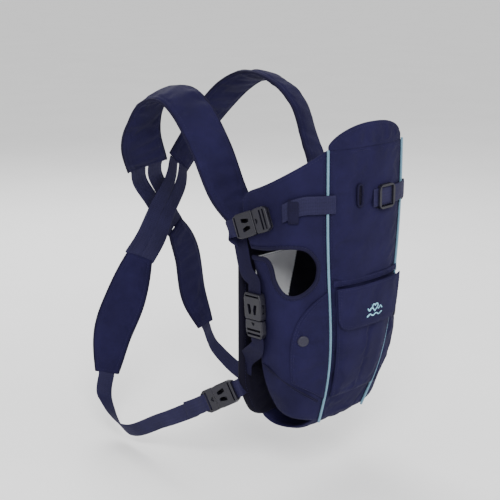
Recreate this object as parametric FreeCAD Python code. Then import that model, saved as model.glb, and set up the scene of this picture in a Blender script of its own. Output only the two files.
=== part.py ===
"""Soft baby carrier, worn on the chest: a padded harness panel with shoulder straps that cross on the back,
and a curved front pouch with arm holes, a folding head support, a pocket and six side-release buckles.

Units are millimetres. The origin is on the wearer's side of the harness panel, at its middle. +Z is up, -Y is
the way the wearer faces, and -X is the wearer's right. The pouch lies in front of the harness (-Y), and the
shoulder straps go over the shoulders to the wearer's back (+Y).
"""

import FreeCAD, Part
import functools
import math
import os

V = FreeCAD.Vector
SIDES = {"right": -1, "left": 1}

# Driving dimensions
WEB = 25.0  # webbing width
WEB_T = 1.6  # webbing thickness
GAP = 0.5  # clearance between sewn layers
WALL = 5.0  # padded wall of the pouch
HARNESS_W = 240.0  # width of the harness panel
HARNESS_TOP = 100.0
NECK_W = 92.0  # raised middle of the harness, between the shoulder straps
STRAP_Z = 61.0  # where the shoulder straps join the harness
HARNESS_KNEE = -150.0  # where the harness starts to narrow
HARNESS_BOTTOM = -212.0
HARNESS_BOTTOM_W = 172.0
HARNESS_T = 14.0
COVER_T = 2.0  # fabric of a padded cover
PAD_T = 10.0  # shoulder pad, at its middle
PAD_CROWN = 4.0  # how much thicker a pad is at its middle than at its edges
LOWER_PAD_T = 9.0
BACK_WEB = 22.0  # width of the straps that cross on the back
SHOULDER_LANE, LOWER_LANE = 15.5, 11.8  # their middles, each side of the middle of a pad
FOLD_Z = 183.0  # line that the head support folds on
HEAD_RISE = 32.0  # head support above that line
FOLD_GAP = 0.6
WING_REAR_Z = 118.0  # top of the pouch's side at its rear edge
SIDE_BOTTOM_Z = -190.0
POUCH_BOTTOM_Z = -209.0
BAND_Z = 112.0  # chest webbing, and where round the pouch it starts
BAND_S = 0.13
HOLE_Y, HOLE_Z = -90.0, 19.5  # middle of the arm hole
HOLE_HALF_Y, HOLE_HALF_Z = 24.0, 35.0
BINDING_T = 3.0
POCKET_TOP, POCKET_BOTTOM = -6.0, -168.0
FLAP_TOP, FLAP_BOTTOM = -3.0, -64.0
TAB_BOTTOM, TAB_RISE = -137.0, 128.0  # rear edge of the gathering tab
SNAP_S, SNAP_Z = 0.197, -75.0
BUCKLE_L, BUCKLE_W, BUCKLE_T = 63.0, 34.0, 11.0
PRONG_ROOT = (5.0, 10.5)  # where a prong bends, along and across its buckle
SLIDER_X = 20.0

# Each side-release buckle on the wearer's right: its middle, the way from receiver to plug, and the way it faces
BUCKLES = {
    "top": ((-135, -43, 84), (0, -61, 24), (-1, 0, 0)),
    "side": ((-129, -42, -46), (0.02, -0.05, -1), (-1, 0.1, 0)),
    "waist": ((-129, 27, -181), (-9, 67, -40), (-1, -0.1, 0)),
}
# Soft straps: points along the middle line, then controls of the direction from the inner edge to the outer one
# and of the width
SHOULDERS = {
    "right": (
        [(-98, -6, 67), (-103, 32, 106), (-101, 70, 169), (-97, 112, 217), (-95, 150, 237), (-95, 188, 229),
         (-92, 217, 196), (-80, 240, 158), (-45, 266, 112)],
        [(-0.95, 0.1, 0), (-0.91, 0.4, 0.1), (-0.91, 0.35, -0.1), (-0.89, 0, -0.45), (-0.75, 0.5, -0.4),
         (-0.7, 0.59, -0.4)],
        [54, 58, 60, 62, 64, 64, 62],
    ),
    "left": (
        [(98, -6, 67), (102, 36, 108), (102, 62, 160), (100, 84, 212), (96, 124, 244), (95, 170, 249),
         (95, 214, 230), (92, 257, 192), (78, 282, 152), (40, 288, 104)],
        [(0.95, 0.1, 0), (0.91, 0.4, 0.1), (0.91, 0.35, -0.1), (0.89, 0, -0.45), (0.9, 0.2, -0.4),
         (0.88, 0.2, -0.42)],
        [54, 58, 60, 62, 64, 64, 62],
    ),
}
LOWER_PADS = {
    "right": ([(-50, 283, -33), (-78, 286, -95), (-104, 290, -150), (-120, 288, -212)],
              [(-0.69, 0.65, 0.3), (-0.69, 0.7, 0.1), (-0.69, 0.7, 0.05)], [38, 74, 66, 34]),
    "left": ([(50, 308, -5), (84, 316, -60), (94, 312, -130), (104, 293, -184)],
             [(0.9, 0.2, 0.3), (0.95, 0.1, 0.2), (0.95, 0.1, 0.2)], [38, 74, 66, 34]),
}
WAISTS = {
    "right": ([(-121, 288, -214), (-129, 283, -250), (-140, 222, -283), (-137, 140, -246), (-132, 84, -216)],
              [(-0.7, 0.7, 0), (-0.6, 0.4, 0.6), (-0.3, 0.1, 0.9), (0.1, 0.5, 0.85)]),
    "left": ([(105, 293, -186), (120, 283, -228), (138, 226, -268), (137, 140, -246), (132, 84, -216)],
             [(0.9, 0.2, 0), (0.6, 0.4, 0.6), (0.3, 0.1, 0.9), (-0.1, 0.5, 0.85)]),
}
# The pouch's cross-section at each height: control points from its rear edge to the middle of its front
POUCH_ROWS = [
    (-230, [(-62, -64), (-66, -67), (-66, -71), (-52, -77), (-28, -76), (0, -76)]),
    (-195, [(-88, -56), (-92, -62), (-92, -76), (-66, -88), (-34, -90), (0, -90)]),
    (-150, [(-106, -36), (-112, -58), (-112, -82), (-76, -100), (-42, -111), (0, -112)]),
    (-80, [(-113, -40), (-119, -64), (-120, -84), (-81, -108), (-46, -125), (0, -127)]),
    (0, [(-117, -46), (-122, -68), (-122, -88), (-86, -112), (-48, -132), (0, -134)]),
    (80, [(-122, -12), (-125, -48), (-124, -84), (-90, -115), (-50, -134), (0, -137)]),
    (150, [(-122, -8), (-124, -46), (-122, -82), (-90, -115), (-54, -133), (0, -136)]),
    (235, [(-120, -8), (-121, -46), (-118, -82), (-90, -114), (-54, -131), (0, -134)]),
]
# Half the width between the two piped seams, from the bottom of the pouch to its top
SEAM_HALF = [(-230, 45), (-195, 49), (-150, 55), (-80, 61), (0, 71), (80, 77), (150, 77), (235, 77)]


# ---------------------------------------------------------------- curves and surfaces
def spline(points, t):
    """Point at t, from 0 to 1, on the clamped uniform cubic B-spline with these control points."""
    n = len(points)
    degree = min(3, n - 1)
    spans = n - degree
    span = min(int(t * spans), spans - 1)

    def knot(i):
        return min(max(i - degree, 0), spans)

    d = [points[span + k] for k in range(degree + 1)]
    x = t * spans
    for r in range(1, degree + 1):
        for j in range(degree, r - 1, -1):
            i = span + j
            lo, hi = knot(i), knot(i + degree + 1 - r)
            w = (x - lo) / (hi - lo)
            d[j] = tuple(a * (1 - w) + b * w for a, b in zip(d[j - 1], d[j]))
    return d[degree]


def path(points, t):
    """Point at t, from 0 to 1, on the smooth curve through these points."""
    spans = len(points) - 1
    k = min(int(t * spans), spans - 1)
    f = t * spans - k
    p1, p2 = points[k], points[k + 1]
    p0 = points[k - 1] if k else tuple(2 * a - b for a, b in zip(p1, p2))
    p3 = points[k + 2] if k + 2 <= spans else tuple(2 * b - a for a, b in zip(p1, p2))

    def along(a, b, c, d):
        return b + f / 2 * (c - a + f * (2 * a - 5 * b + 4 * c - d + f * (3 * b - 3 * c + d - a)))

    return tuple(along(*q) for q in zip(p0, p1, p2, p3))


def solve(f, lo, hi):
    """Where f, which rises from lo to hi, is zero."""
    for _ in range(40):
        mid = (lo + hi) / 2
        if f(mid) < 0:
            lo = mid
        else:
            hi = mid
    return (lo + hi) / 2


@functools.lru_cache(maxsize=None)
def row_at(z):
    """The cross-section's control points, across the whole pouch, and half its seam width, at height z."""
    levels = [(row[0],) for row in POUCH_ROWS]
    v = solve(lambda t: spline(levels, t)[0] - z, 0.0, 1.0)
    half = [spline([row[1][k] for row in POUCH_ROWS], v) for k in range(len(POUCH_ROWS[0][1]))]
    seam = spline([(row[1],) for row in SEAM_HALF], v)[0]
    return tuple(half) + tuple((-x, y) for x, y in reversed(half[:-1])), seam


def wall(s, z, offset=0.0):
    """Point on the pouch at s, from 0 at the right rear edge to 1 at the left one, offset outwards."""
    step_s, step_z = 1e-3, 0.5
    x, y = spline(row_at(z)[0], s)
    a, b = spline(row_at(z)[0], max(s - step_s, 0)), spline(row_at(z)[0], min(s + step_s, 1))
    lo, hi = spline(row_at(z - step_z)[0], s), spline(row_at(z + step_z)[0], s)
    across = V(b[0] - a[0], b[1] - a[1], 0)
    along = V(hi[0] - lo[0], hi[1] - lo[1], 2 * step_z)
    normal = across.cross(along)
    normal.normalize()
    return V(x, y, z) + normal * offset


@functools.lru_cache(maxsize=None)
def s_of_x(x, z):
    """s on the front of the pouch where it is x from the middle."""
    return solve(lambda s: spline(row_at(z)[0], s)[0] - x, 0.12, 0.88)


def seam_s(z):
    """s of the left piped seam at height z."""
    return s_of_x(row_at(z)[1], z)


def thick(inner, outer):
    """Closed solid between two grids of points."""

    def skin(grid):
        surface = Part.BSplineSurface()
        surface.interpolate(grid)
        return surface

    a, b = skin(inner), skin(outer)
    u0, u1, v0, v1 = a.bounds()
    w0, w1, q0, q1 = b.bounds()
    rims = [
        (a.uIso(u0), b.uIso(w0)),
        (a.uIso(u1), b.uIso(w1)),
        (a.vIso(v0), b.vIso(q0)),
        (a.vIso(v1), b.vIso(q1)),
    ]
    faces = [a.toShape(), b.toShape()]
    faces += [Part.makeRuledSurface(p.toShape(), q.toShape(), 1) for p, q in rims]
    shell = Part.Shell(faces)
    shell.sewShape()
    solid = Part.Solid(shell)
    if solid.Volume < 0:
        solid.reverse()
    return solid


def grid_of(f, na, nb):
    """Grid of f(a, b) with a and b from 0 to 1."""
    return [[f(i / (na - 1), j / (nb - 1)) for j in range(nb)] for i in range(na)]


def layer(place, low, high, na=9, nb=15):
    """Solid on the pouch, between two offsets, over the region that place(a, b) -> (s, z) covers."""
    return thick(
        grid_of(lambda a, b: wall(*place(a, b), low), na, nb),
        grid_of(lambda a, b: wall(*place(a, b), high), na, nb),
    )


def front_area(x_half, z_low, z_high, margin=0.0):
    """Region on the front of the pouch, x_half(z) each side of its middle."""

    def place(a, b):
        z = z_low + (z_high - z_low) * b
        half = x_half(z) - margin
        return s_of_x(half * (2 * a - 1), z), z

    return place


def mirrored(shape):
    """The same shape on the wearer's other side."""
    return shape.mirror(V(0, 0, 0), V(1, 0, 0))


def ribbon(line, across, widths, thickness, stations=25, crown=0.0):
    """Strip along the B-spline through line's control points. across gives the control vectors of its width
    direction, widths its control widths, and crown how much thicker its middle is than its edges."""
    crowned = [0.0, 0.75, 1.0, 0.75, 0.0] if crown else [0.0, 0.0, 0.0]
    inner, outer = [], []
    for k in range(stations):
        t = k / (stations - 1)
        centre = V(*path(line, t))
        tangent = V(*path(line, min(t + 0.01, 1))) - V(*path(line, max(t - 0.01, 0)))
        tangent.normalize()
        side = V(*spline(across, t))
        side = side - tangent * side.dot(tangent)
        side.normalize()
        normal = tangent.cross(side)
        half = spline([(w,) for w in widths], t)[0] / 2
        rows = [(2 * i / (len(crowned) - 1) - 1, thickness / 2 + crown * c / 2) for i, c in enumerate(crowned)]
        inner.append([centre + side * (half * p) - normal * q for p, q in rows])
        outer.append([centre + side * (half * p) + normal * q for p, q in rows])
    return thick(inner, outer)


def rounded_wire(points, radii):
    """Closed flat wire through points, with each corner rounded to its radius."""
    n = len(points)
    ends = []
    for k in range(n):
        p, before, after = V(*points[k]), V(*points[k - 1]), V(*points[(k + 1) % n])
        u, w = (before - p).normalize(), (after - p).normalize()
        turn = math.acos(max(-1, min(1, u.dot(w))))
        reach = radii[k] / math.tan(turn / 2)
        middle = (u + w).normalize()
        centre = p + middle * (radii[k] / math.sin(turn / 2))
        ends.append((p + u * reach, centre - middle * radii[k], p + w * reach))
    edges = []
    for k in range(n):
        edges.append(Part.Arc(*ends[k]).toShape())
        start, end = ends[k][2], ends[(k + 1) % n][0]
        if start.distanceToPoint(end) > 1e-6:
            edges.append(Part.LineSegment(start, end).toShape())
    return Part.Wire(edges)


def plate(points, radii, push):
    """Flat plate: a rounded outline pushed along a vector."""
    return Part.Face(rounded_wire(points, radii)).extrude(V(*push))


def box(x, y, z):
    """Box between the pairs of limits x, y and z."""
    return Part.makeBox(x[1] - x[0], y[1] - y[0], z[1] - z[0], V(x[0], y[0], z[0]))


# ---------------------------------------------------------------- harness and seat
def harness_outline(inset, y):
    half, low, neck = HARNESS_W / 2 - inset, HARNESS_BOTTOM_W / 2 - inset, NECK_W / 2 - inset
    top, shoulder, knee, bottom = HARNESS_TOP - inset, STRAP_Z - inset, HARNESS_KNEE, HARNESS_BOTTOM + inset
    right = [(-neck, top), (-neck - 8, shoulder), (-half, shoulder), (-half, knee), (-low, bottom)]
    left = [(-x, z) for x, z in reversed(right)]
    return [(x, y, z) for x, z in left + right], [18, 40, 6, 5, 12, 12, 5, 6, 40, 18]


def make_harness():
    cover = plate(*harness_outline(0, 0), (0, -HARNESS_T, 0))
    hollow = plate(*harness_outline(COVER_T, -COVER_T), (0, 2 * COVER_T - HARNESS_T, 0))
    foam = plate(*harness_outline(COVER_T + 0.3, -COVER_T - 0.3), (0, 2 * COVER_T + 0.6 - HARNESS_T, 0))
    return {"harness_cover": cover.cut(hollow), "harness_foam": foam}


def make_seat():
    line = [(0, -9, -216), (0, -20, -228), (0, -42, -229), (0, -64, -223), (0, -76, -215)]
    return {"seat_strip": ribbon(line, [(1, 0, 0)] * 2, [168, 140, 112, 98, 92], WALL)}


# ---------------------------------------------------------------- pouch
def wing_place(a, b):
    """Region of the right side of the pouch, from its rear edge at a = 0 to the piped seam at a = 1."""
    top = WING_REAR_Z + (FOLD_Z - WING_REAR_Z) * a**0.9
    bottom = SIDE_BOTTOM_Z + (POUCH_BOTTOM_Z - SIDE_BOTTOM_Z) * a
    z = bottom + (top - bottom) * b
    return (1 - seam_s(z) - 0.004) * a, z


def arm_opening(grow):
    """Prism through the right side of the pouch: the arm hole, with the slit that opens it to the rear."""
    middle = V(-170, HOLE_Y, HOLE_Z)
    rim = Part.Ellipse(middle + V(0, 0, HOLE_HALF_Z + grow), middle + V(0, HOLE_HALF_Y + grow, 0), middle)
    hole = Part.Face(Part.Wire(rim.toShape())).extrude(V(110, 0, 0))
    slit = box((-170, -60), (HOLE_Y + 8, 20), (HOLE_Z + 14 - grow, HOLE_Z + 28 + grow))
    return hole.fuse(slit)


def make_sides():
    wing = layer(wing_place, 0, WALL, 13, 25).cut(arm_opening(BINDING_T))
    rim = layer(wing_place, -1.2, WALL + 1.2, 13, 25)
    binding = rim.common(arm_opening(BINDING_T - 0.4)).cut(arm_opening(0))
    return {
        "side_wing_right": wing,
        "side_wing_left": mirrored(wing),
        "arm_bindings": Part.makeCompound([binding, mirrored(binding)]),
    }


def seam_half(z):
    return row_at(z)[1]


def make_front():
    def trim_place(a, b):
        return s_of_x(-36 + 12 * a, BAND_Z), BAND_Z - 10 + 34 * b

    area = front_area(seam_half, POUCH_BOTTOM_Z, FOLD_Z - FOLD_GAP, 1.5)
    trim = layer(trim_place, WALL + 0.3, WALL + 1.2, 3, 3)
    return {
        "front_lining": layer(area, 0, 2.0, 9, 21),
        "front_panel": layer(area, 2.4, WALL, 9, 21).cut(slot_opening(0)),
        "band_slot_trim": trim.cut(slot_opening(0)),
    }


def make_head_flap():
    def place(a, b):
        x = 2 * a - 1
        rise = (HEAD_RISE - FOLD_GAP) * (1 - abs(x) ** 3.2) ** 0.8
        z = FOLD_Z + FOLD_GAP + max(rise, 3.0) * b
        return s_of_x((seam_half(z) - 1.5) * x, z), z

    return {"head_flap": layer(place, 0, WALL, 21, 5)}


def make_piping():
    def place(a, b):
        z = POUCH_BOTTOM_Z + (FOLD_Z - 1 - POUCH_BOTTOM_Z) * b
        return s_of_x(-seam_half(z) + 1.4 * (2 * a - 1), z), z

    cord = layer(place, WALL + 0.3, WALL + 3.1, 3, 25)
    return {"piping": Part.makeCompound([cord, mirrored(cord)])}


def make_pocket():
    def half(z):
        return seam_half(z) - 7

    body = layer(front_area(half, POCKET_BOTTOM, POCKET_TOP), WALL + 0.4, WALL + 5.5, 9, 15)
    loop = layer(front_area(lambda z: 34, -44, -24), WALL + 5.7, WALL + 6.9, 5, 5)
    hook = layer(front_area(lambda z: 34, -44, -24), WALL + 7.2, WALL + 8.4, 5, 5)
    flap = layer(front_area(lambda z: half(z) + 0.5, FLAP_BOTTOM, FLAP_TOP), WALL + 8.8, WALL + 11.2, 9, 9)
    emblem = layer(front_area(lambda z: 9, -48, -32), WALL + 11.4, WALL + 12.2, 5, 5)
    return {
        "pocket_body": body,
        "pocket_loop_patch": loop,
        "pocket_hook_patch": hook,
        "pocket_flap": flap,
        "emblem_patch": emblem,
    }


def make_leg_tabs():
    """Gathering tab low on each side of the pouch, with its snap."""

    def place(a, b):
        rear_z, seam_z = TAB_BOTTOM + TAB_RISE * b, TAB_BOTTOM - 33 + (TAB_RISE + 33) * b
        z = rear_z + (seam_z - rear_z) * a
        rear_s = 0.142 + 0.15 * b**4
        return rear_s + (1 - seam_s(z) - 0.012 - rear_s) * a, z

    tab = layer(place, WALL + 0.4, WALL + 3.0, 11, 15)
    base, tip = wall(SNAP_S, SNAP_Z, WALL + 3.3), wall(SNAP_S, SNAP_Z, WALL + 9)
    axis = (tip - base).normalize()
    cap = Part.makeCylinder(7.5, 2.2, base + axis * 0.2, axis)
    cap = cap.makeFillet(1.0, [cap.Edges[0]])
    return {
        "leg_tabs": Part.makeCompound([tab, mirrored(tab)]),
        "leg_snaps": Part.makeCompound([cap, mirrored(cap)]),
    }


# ---------------------------------------------------------------- buckles
def mirror_x(v):
    return (-v[0], v[1], v[2])


def buckle_frame(place, side):
    """Where a buckle sits: its own X runs from receiver to plug and its own Z is the way it faces."""
    centre, axis, normal = BUCKLES[place]
    if side == "left":
        centre, axis, normal = mirror_x(centre), mirror_x(axis), mirror_x(normal)
    x = V(*axis).normalize()
    z = V(*normal)
    z = (z - x * z.dot(x)).normalize()
    return FreeCAD.Placement(V(*centre), FreeCAD.Rotation(x, z.cross(x), z, "ZXY"))


def half_box(x, y, z):
    """Box reaching y and z each side of the middle."""
    return box(x, (-y, y), (-z, z))


def buckle_block(half_outline, half_t):
    """Rounded block with half_outline's points on each side of its middle."""
    points = [(x, -y, -half_t) for x, y in half_outline] + [(x, y, -half_t) for x, y in reversed(half_outline)]
    block = plate(points, [2.6] * len(points), (0, 0, 2 * half_t))
    return block.makeFillet(1.8, [e for e in block.Edges if e.BoundBox.ZLength < 1e-3])


def buckle_parts():
    end, half_w, half_t = BUCKLE_L / 2, BUCKLE_W / 2, BUCKLE_T / 2
    mouth_y, mouth_z = WEB / 2 + 1, WEB_T / 2 + 0.5
    prong_x, prong_y = PRONG_ROOT

    receiver = buckle_block([(-end, half_w - 3), (-end + 8, half_w), (-3, half_w), (5.4, half_w - 1)], half_t)
    receiver = receiver.cut(half_box((-20, 6), half_w - 2.6, half_t - 2.4))
    receiver = receiver.cut(half_box((-17, -4), half_w + 1, 1.9))
    receiver = receiver.cut(half_box((-end - 1, -22.4), mouth_y, mouth_z))
    receiver = receiver.cut(half_box((-end + 3, -end + 5.5), mouth_y, half_t + 1))
    for side in (-1, 1):
        window = [(-16, side * 4), (-16, side * 9.5), (-2, side * 7), (-2, side * 3), (-8, side * 2)]
        receiver = receiver.cut(plate([(x, y, 0) for x, y in window], [1.2] * 5, (0, 0, half_t + 1)))

    plug = buckle_block([(5.8, half_w - 1), (13, half_w), (end - 7, half_w), (end, half_w - 4)], half_t - 1)
    arrow = [(9.5, -4.5, 2.8), (9.5, 4.5, 2.8), (15, 0, 2.8)]
    plug = plug.cut(plate(arrow, [0.6] * 3, (0, 0, half_t)))
    plug = plug.fuse(half_box((-17, 6), 2.2, 2.0))
    plug = plug.cut(half_box((18, end + 1), mouth_y, mouth_z))
    for bar_x in (19, 25):
        plug = plug.cut(half_box((bar_x, bar_x + 3), mouth_y, half_t + 1))
    for side in (-1, 1):
        plug = plug.cut(box((5, 9.6), sorted((side * (prong_y - 2.2), side * (prong_y + 2.2))), (-2.5, 2.5)))

    arm = [(9.2, prong_y - 1.6), (9.2, prong_y + 1.6), (-4.6, prong_y + 1.8), (-5.4, half_w - 1.6)]
    arm += [(-12, half_w - 1), (-18.6, prong_y + 0.6), (-18.6, prong_y - 1.6)]
    wire = Part.makePolygon([V(x, y, -1.6) for x, y in arm + arm[:1]])
    prong = Part.Face(wire).extrude(V(0, 0, 3.2))
    other = prong.mirror(V(0, 0, 0), V(0, 1, 0))
    return {"receiver": receiver, "plug": plug, "prong_a": prong, "prong_b": other}


def make_buckles():
    parts = buckle_parts()
    nodes = {}
    for place in BUCKLES:
        for side in SIDES:
            for name, shape in parts.items():
                copy = shape.copy()
                copy.Placement = buckle_frame(place, side)
                nodes["_".join(("buckle", place, side, name))] = copy
    return nodes


def web_end(place, side, end, reach=22):
    """Point just inside a buckle, a point reach further out, and the direction of the webbing's width there. end
    is -1 at the buckle's receiver and 1 at its plug."""
    frame = buckle_frame(place, side)
    inside = {-1: -BUCKLE_L / 2 + 3.4, 1: BUCKLE_L / 2 - 6.0}[end]
    point = frame.multVec(V(inside, 0, 0))
    outside = frame.multVec(V(inside + end * reach, 0, 0))
    return tuple(point), tuple(outside), tuple(frame.Rotation.multVec(V(0, 1, 0)))


def facing(width, other):
    """other, turned end for end if it opposes width, so that webbing between them doesn't twist."""
    return other if V(*width).dot(V(*other)) > 0 else tuple(-k for k in other)


# ---------------------------------------------------------------- straps
def make_shoulders():
    nodes = {}
    for side, (line, across, widths) in SHOULDERS.items():
        nodes["shoulder_pad_" + side] = ribbon(line, across, widths, PAD_T - PAD_CROWN, 31, PAD_CROWN)
    return nodes


def make_back():
    """Lower pads, and the pair of webbing straps that crosses to each from the other side's shoulder pad."""
    nodes = {}
    for side, (line, across, widths) in LOWER_PADS.items():
        nodes["lower_pad_" + side] = ribbon(line, across, widths, LOWER_PAD_T - PAD_CROWN, 21, PAD_CROWN)
    for side, other, lift in (("right", "left", 9.0), ("left", "right", -8.0)):
        shoulder, pad = SHOULDERS[side], LOWER_PADS[other]
        start, edge = V(*shoulder[0][-1]), V(*shoulder[1][-1]).normalize()
        finish, low = V(*pad[0][0]), V(*pad[1][0]).normalize()
        run = (finish - start).normalize()
        start, finish = start + run * 5, finish - run * 5
        straps = []
        for lane in (-1, 1):
            a = start + edge * (lane * SHOULDER_LANE)
            b = finish - low * (lane * LOWER_LANE)
            line = [tuple(a)]
            for f, k in ((0.22, 1.5), (0.5, 1), (0.78, 1)):
                line.append(tuple(a * (1 - f) + b * f + V(0, lift * k, 0)))
            line.append(tuple(b))
            turning = [tuple(edge), tuple((edge - low).normalize()), tuple(-low)]
            straps.append(ribbon(line, turning, [BACK_WEB] * 2, WEB_T))
        nodes["back_straps_" + side] = Part.makeCompound(straps)
    return nodes


def make_webbing():
    nodes = {}
    anchors, uppers, lowers = [], [], []
    for side, (line, across) in WAISTS.items():
        sign = SIDES[side]
        point, outside, width = web_end("waist", side, 1)
        turning = across + [facing(across[-1], width)] * 2
        nodes["waist_webbing_" + side] = ribbon(line + [outside, point], turning, [WEB] * 2, WEB_T)
        point, outside, width = web_end("waist", side, -1, 11)
        edge = (sign * (HARNESS_W / 2 + 2.0), -7, -158)
        turned = facing(width, (0, 0.3, 1))
        anchors.append(ribbon([point, outside, edge], [width, width, turned], [WEB] * 2, WEB_T))
        point, outside, width = web_end("side", side, -1)
        edge = (sign * (HARNESS_W / 2 + 5.0), -4, 32)
        bend = (sign * (HARNESS_W / 2 + 13.5), -30, 8)
        flat = facing(width, (0, -1, 0))
        uppers.append(ribbon([point, bend, edge], [width, width, flat], [WEB] * 2, WEB_T))
        point, outside, width = web_end("side", side, 1)
        edge = (sign * (HARNESS_W / 2 + 2.0), -8, -140)
        bend = (edge[0] + sign * 3, -14, -118)
        lowers.append(ribbon([point, outside, bend, edge], [width, width, flat, flat], [WEB] * 2, WEB_T))
    nodes["waist_anchors"] = Part.makeCompound(anchors)
    nodes["side_straps"] = Part.makeCompound(uppers)
    nodes["side_anchors"] = Part.makeCompound(lowers)
    return nodes


def make_top_straps():
    """Short webbing from each shoulder pad's front end to its top buckle."""
    straps = []
    for side, sign in SIDES.items():
        point, outside, width = web_end("top", side, -1)
        edge = (sign * (HARNESS_W / 2 + 11.5), 0.4, 52)
        straps.append(ribbon([point, outside, edge], [width, width], [WEB] * 2, WEB_T))
    return {"top_straps": Part.makeCompound(straps)}


def make_bands():
    """Chest webbing on the pouch, from each top buckle to the front, and what holds it."""
    low, high = WALL + 3.5, WALL + 3.5 + WEB_T
    rear_z, seam_z = BAND_Z - 12, BAND_Z

    def band(s_end):
        def place(a, b):
            s = BAND_S + (s_end - BAND_S) * a
            rise = 1 - (1 - min(a / 0.5, 1)) ** 2
            return s, rear_z + (seam_z - rear_z) * rise + WEB * (b - 0.5)

        return layer(place, low, high, 17, 3)

    right = band(s_of_x(-68, BAND_Z))
    left = mirrored(band(s_of_x(6, BAND_Z)))

    def keeper_place(a, b):
        return BAND_S + 0.02 + 0.035 * a, rear_z + 3 + (WEB + 6) * (b - 0.5)

    keeper = layer(keeper_place, high + GAP, high + 2, 3, 3)
    nodes = {"chest_band_right": right, "chest_band_left": left}
    nodes["band_keepers"] = Part.makeCompound([keeper, mirrored(keeper)])
    return nodes


def slot_opening(grow):
    return box((-31.5 - grow, -28.5 + grow), (-200, -100), (BAND_Z - 6 - grow, BAND_Z + 20 + grow))


def make_slider():
    """Webbing slider on the left chest band, lying in the pouch's tangent plane."""
    s = s_of_x(SLIDER_X, BAND_Z)
    base, above = wall(s, BAND_Z, 0), wall(s, BAND_Z, 10)
    z = (above - base).normalize()
    y = V(0, 0, 1)
    y = (y - z * y.dot(z)).normalize()
    frame = FreeCAD.Placement(base, FreeCAD.Rotation(y.cross(z), y, z, "ZXY"))
    low, high = WALL + 0.8, WALL + 8.2
    web_low, web_high = WALL + 3.0, WALL + 3.5 + WEB_T + 0.6
    ring = box((-18.5, 18.5), (-16.8, 16.8), (low, high))
    ring = ring.makeFillet(9.0, [e for e in ring.Edges if e.BoundBox.ZLength > 7])
    ring = ring.cut(box((-20, -2.2), (-13.6, 13.6), (low - 1, web_high)))
    ring = ring.cut(box((2.2, 20), (-13.6, 13.6), (low - 1, web_high)))
    ring = ring.cut(box((-3, 3), (-13.6, 13.6), (web_low, high + 1)))
    for x in (-14.0, 2.6):
        ring = ring.cut(box((x, x + 11.4), (-13.6, 13.6), (low - 1, high + 1)))
    ring.Placement = frame
    return {"slider": ring}


def make_lining_patch():
    y = -HARNESS_T - 0.3
    points = [(-100, y, 27), (-12, y, 27), (-34, y, -52), (-100, y, -60)]
    return {"lining_patch": plate(points, [6, 6, 6, 6], (0, -0.8, 0))}


# ---------------------------------------------------------------- assembly
def build():
    nodes = {}
    makers = [make_harness, make_lining_patch, make_seat, make_sides, make_front, make_head_flap, make_piping]
    makers += [make_pocket, make_leg_tabs, make_buckles, make_shoulders, make_back, make_webbing, make_top_straps]
    makers += [make_bands, make_slider]
    for make in makers:
        nodes.update(make())
    return nodes


def main():
    os.makedirs("parts", exist_ok=True)
    for name, shape in build().items():
        shape.exportStep("parts/" + name + ".step")


main()
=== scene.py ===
import math

import bmesh
import bpy
import numpy as np
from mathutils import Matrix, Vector


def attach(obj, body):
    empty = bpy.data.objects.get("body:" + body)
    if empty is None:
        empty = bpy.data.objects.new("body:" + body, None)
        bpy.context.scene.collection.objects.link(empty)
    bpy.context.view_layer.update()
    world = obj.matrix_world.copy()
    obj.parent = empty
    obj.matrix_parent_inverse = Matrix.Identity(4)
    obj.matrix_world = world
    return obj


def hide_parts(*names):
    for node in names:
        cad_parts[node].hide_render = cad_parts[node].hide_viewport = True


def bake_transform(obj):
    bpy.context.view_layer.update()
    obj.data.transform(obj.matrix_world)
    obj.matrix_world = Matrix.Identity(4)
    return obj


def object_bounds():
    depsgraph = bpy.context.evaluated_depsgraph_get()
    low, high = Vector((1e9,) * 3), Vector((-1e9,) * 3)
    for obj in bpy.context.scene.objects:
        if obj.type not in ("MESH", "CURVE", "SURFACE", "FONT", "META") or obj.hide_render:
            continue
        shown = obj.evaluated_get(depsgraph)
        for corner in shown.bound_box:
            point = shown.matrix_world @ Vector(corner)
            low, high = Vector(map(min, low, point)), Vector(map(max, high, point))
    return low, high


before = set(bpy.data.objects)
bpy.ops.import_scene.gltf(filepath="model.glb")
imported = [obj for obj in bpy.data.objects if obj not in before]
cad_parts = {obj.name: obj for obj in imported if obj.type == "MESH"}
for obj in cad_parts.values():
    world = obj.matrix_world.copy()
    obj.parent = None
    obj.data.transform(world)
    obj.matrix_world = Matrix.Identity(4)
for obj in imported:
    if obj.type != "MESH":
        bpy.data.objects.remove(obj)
cad_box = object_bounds()

# Everything below is worked out in millimetres, in the CAD's frame, and scaled once when a mesh is made.
MM = 0.001
WALL = 5.0  # thickness of the pouch's padded wall
WEB, WEB_T = 25.0, 1.6  # the webbing's width and thickness
FOLD_Z = 183.0  # where the head support folds
WING_REAR_Z = 118.0  # top of each wing's rear edge
SIDE_BOTTOM_Z, POUCH_BOTTOM_Z = -190.0, -209.0  # bottom of a wing's rear edge, and of the front
BAND_Z, BAND_S = 112.0, 0.13  # the chest webbing's height in front, and where on the wall it starts
BAND_REAR_Z = BAND_Z - 12
SLOT_X, SLOT_Z = -30, BAND_Z + 7  # the chest webbing's slot in the front panel
SNAP_S, SNAP_Z = 0.197, -75.0
ALL_EDGES, SIDES_AND_START = "a0 a1 b0 b1", "a0 a1 b0"  # edges of a piece's grid of points
BOTH = (1, -1)  # a piece's outer and inner face

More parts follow.
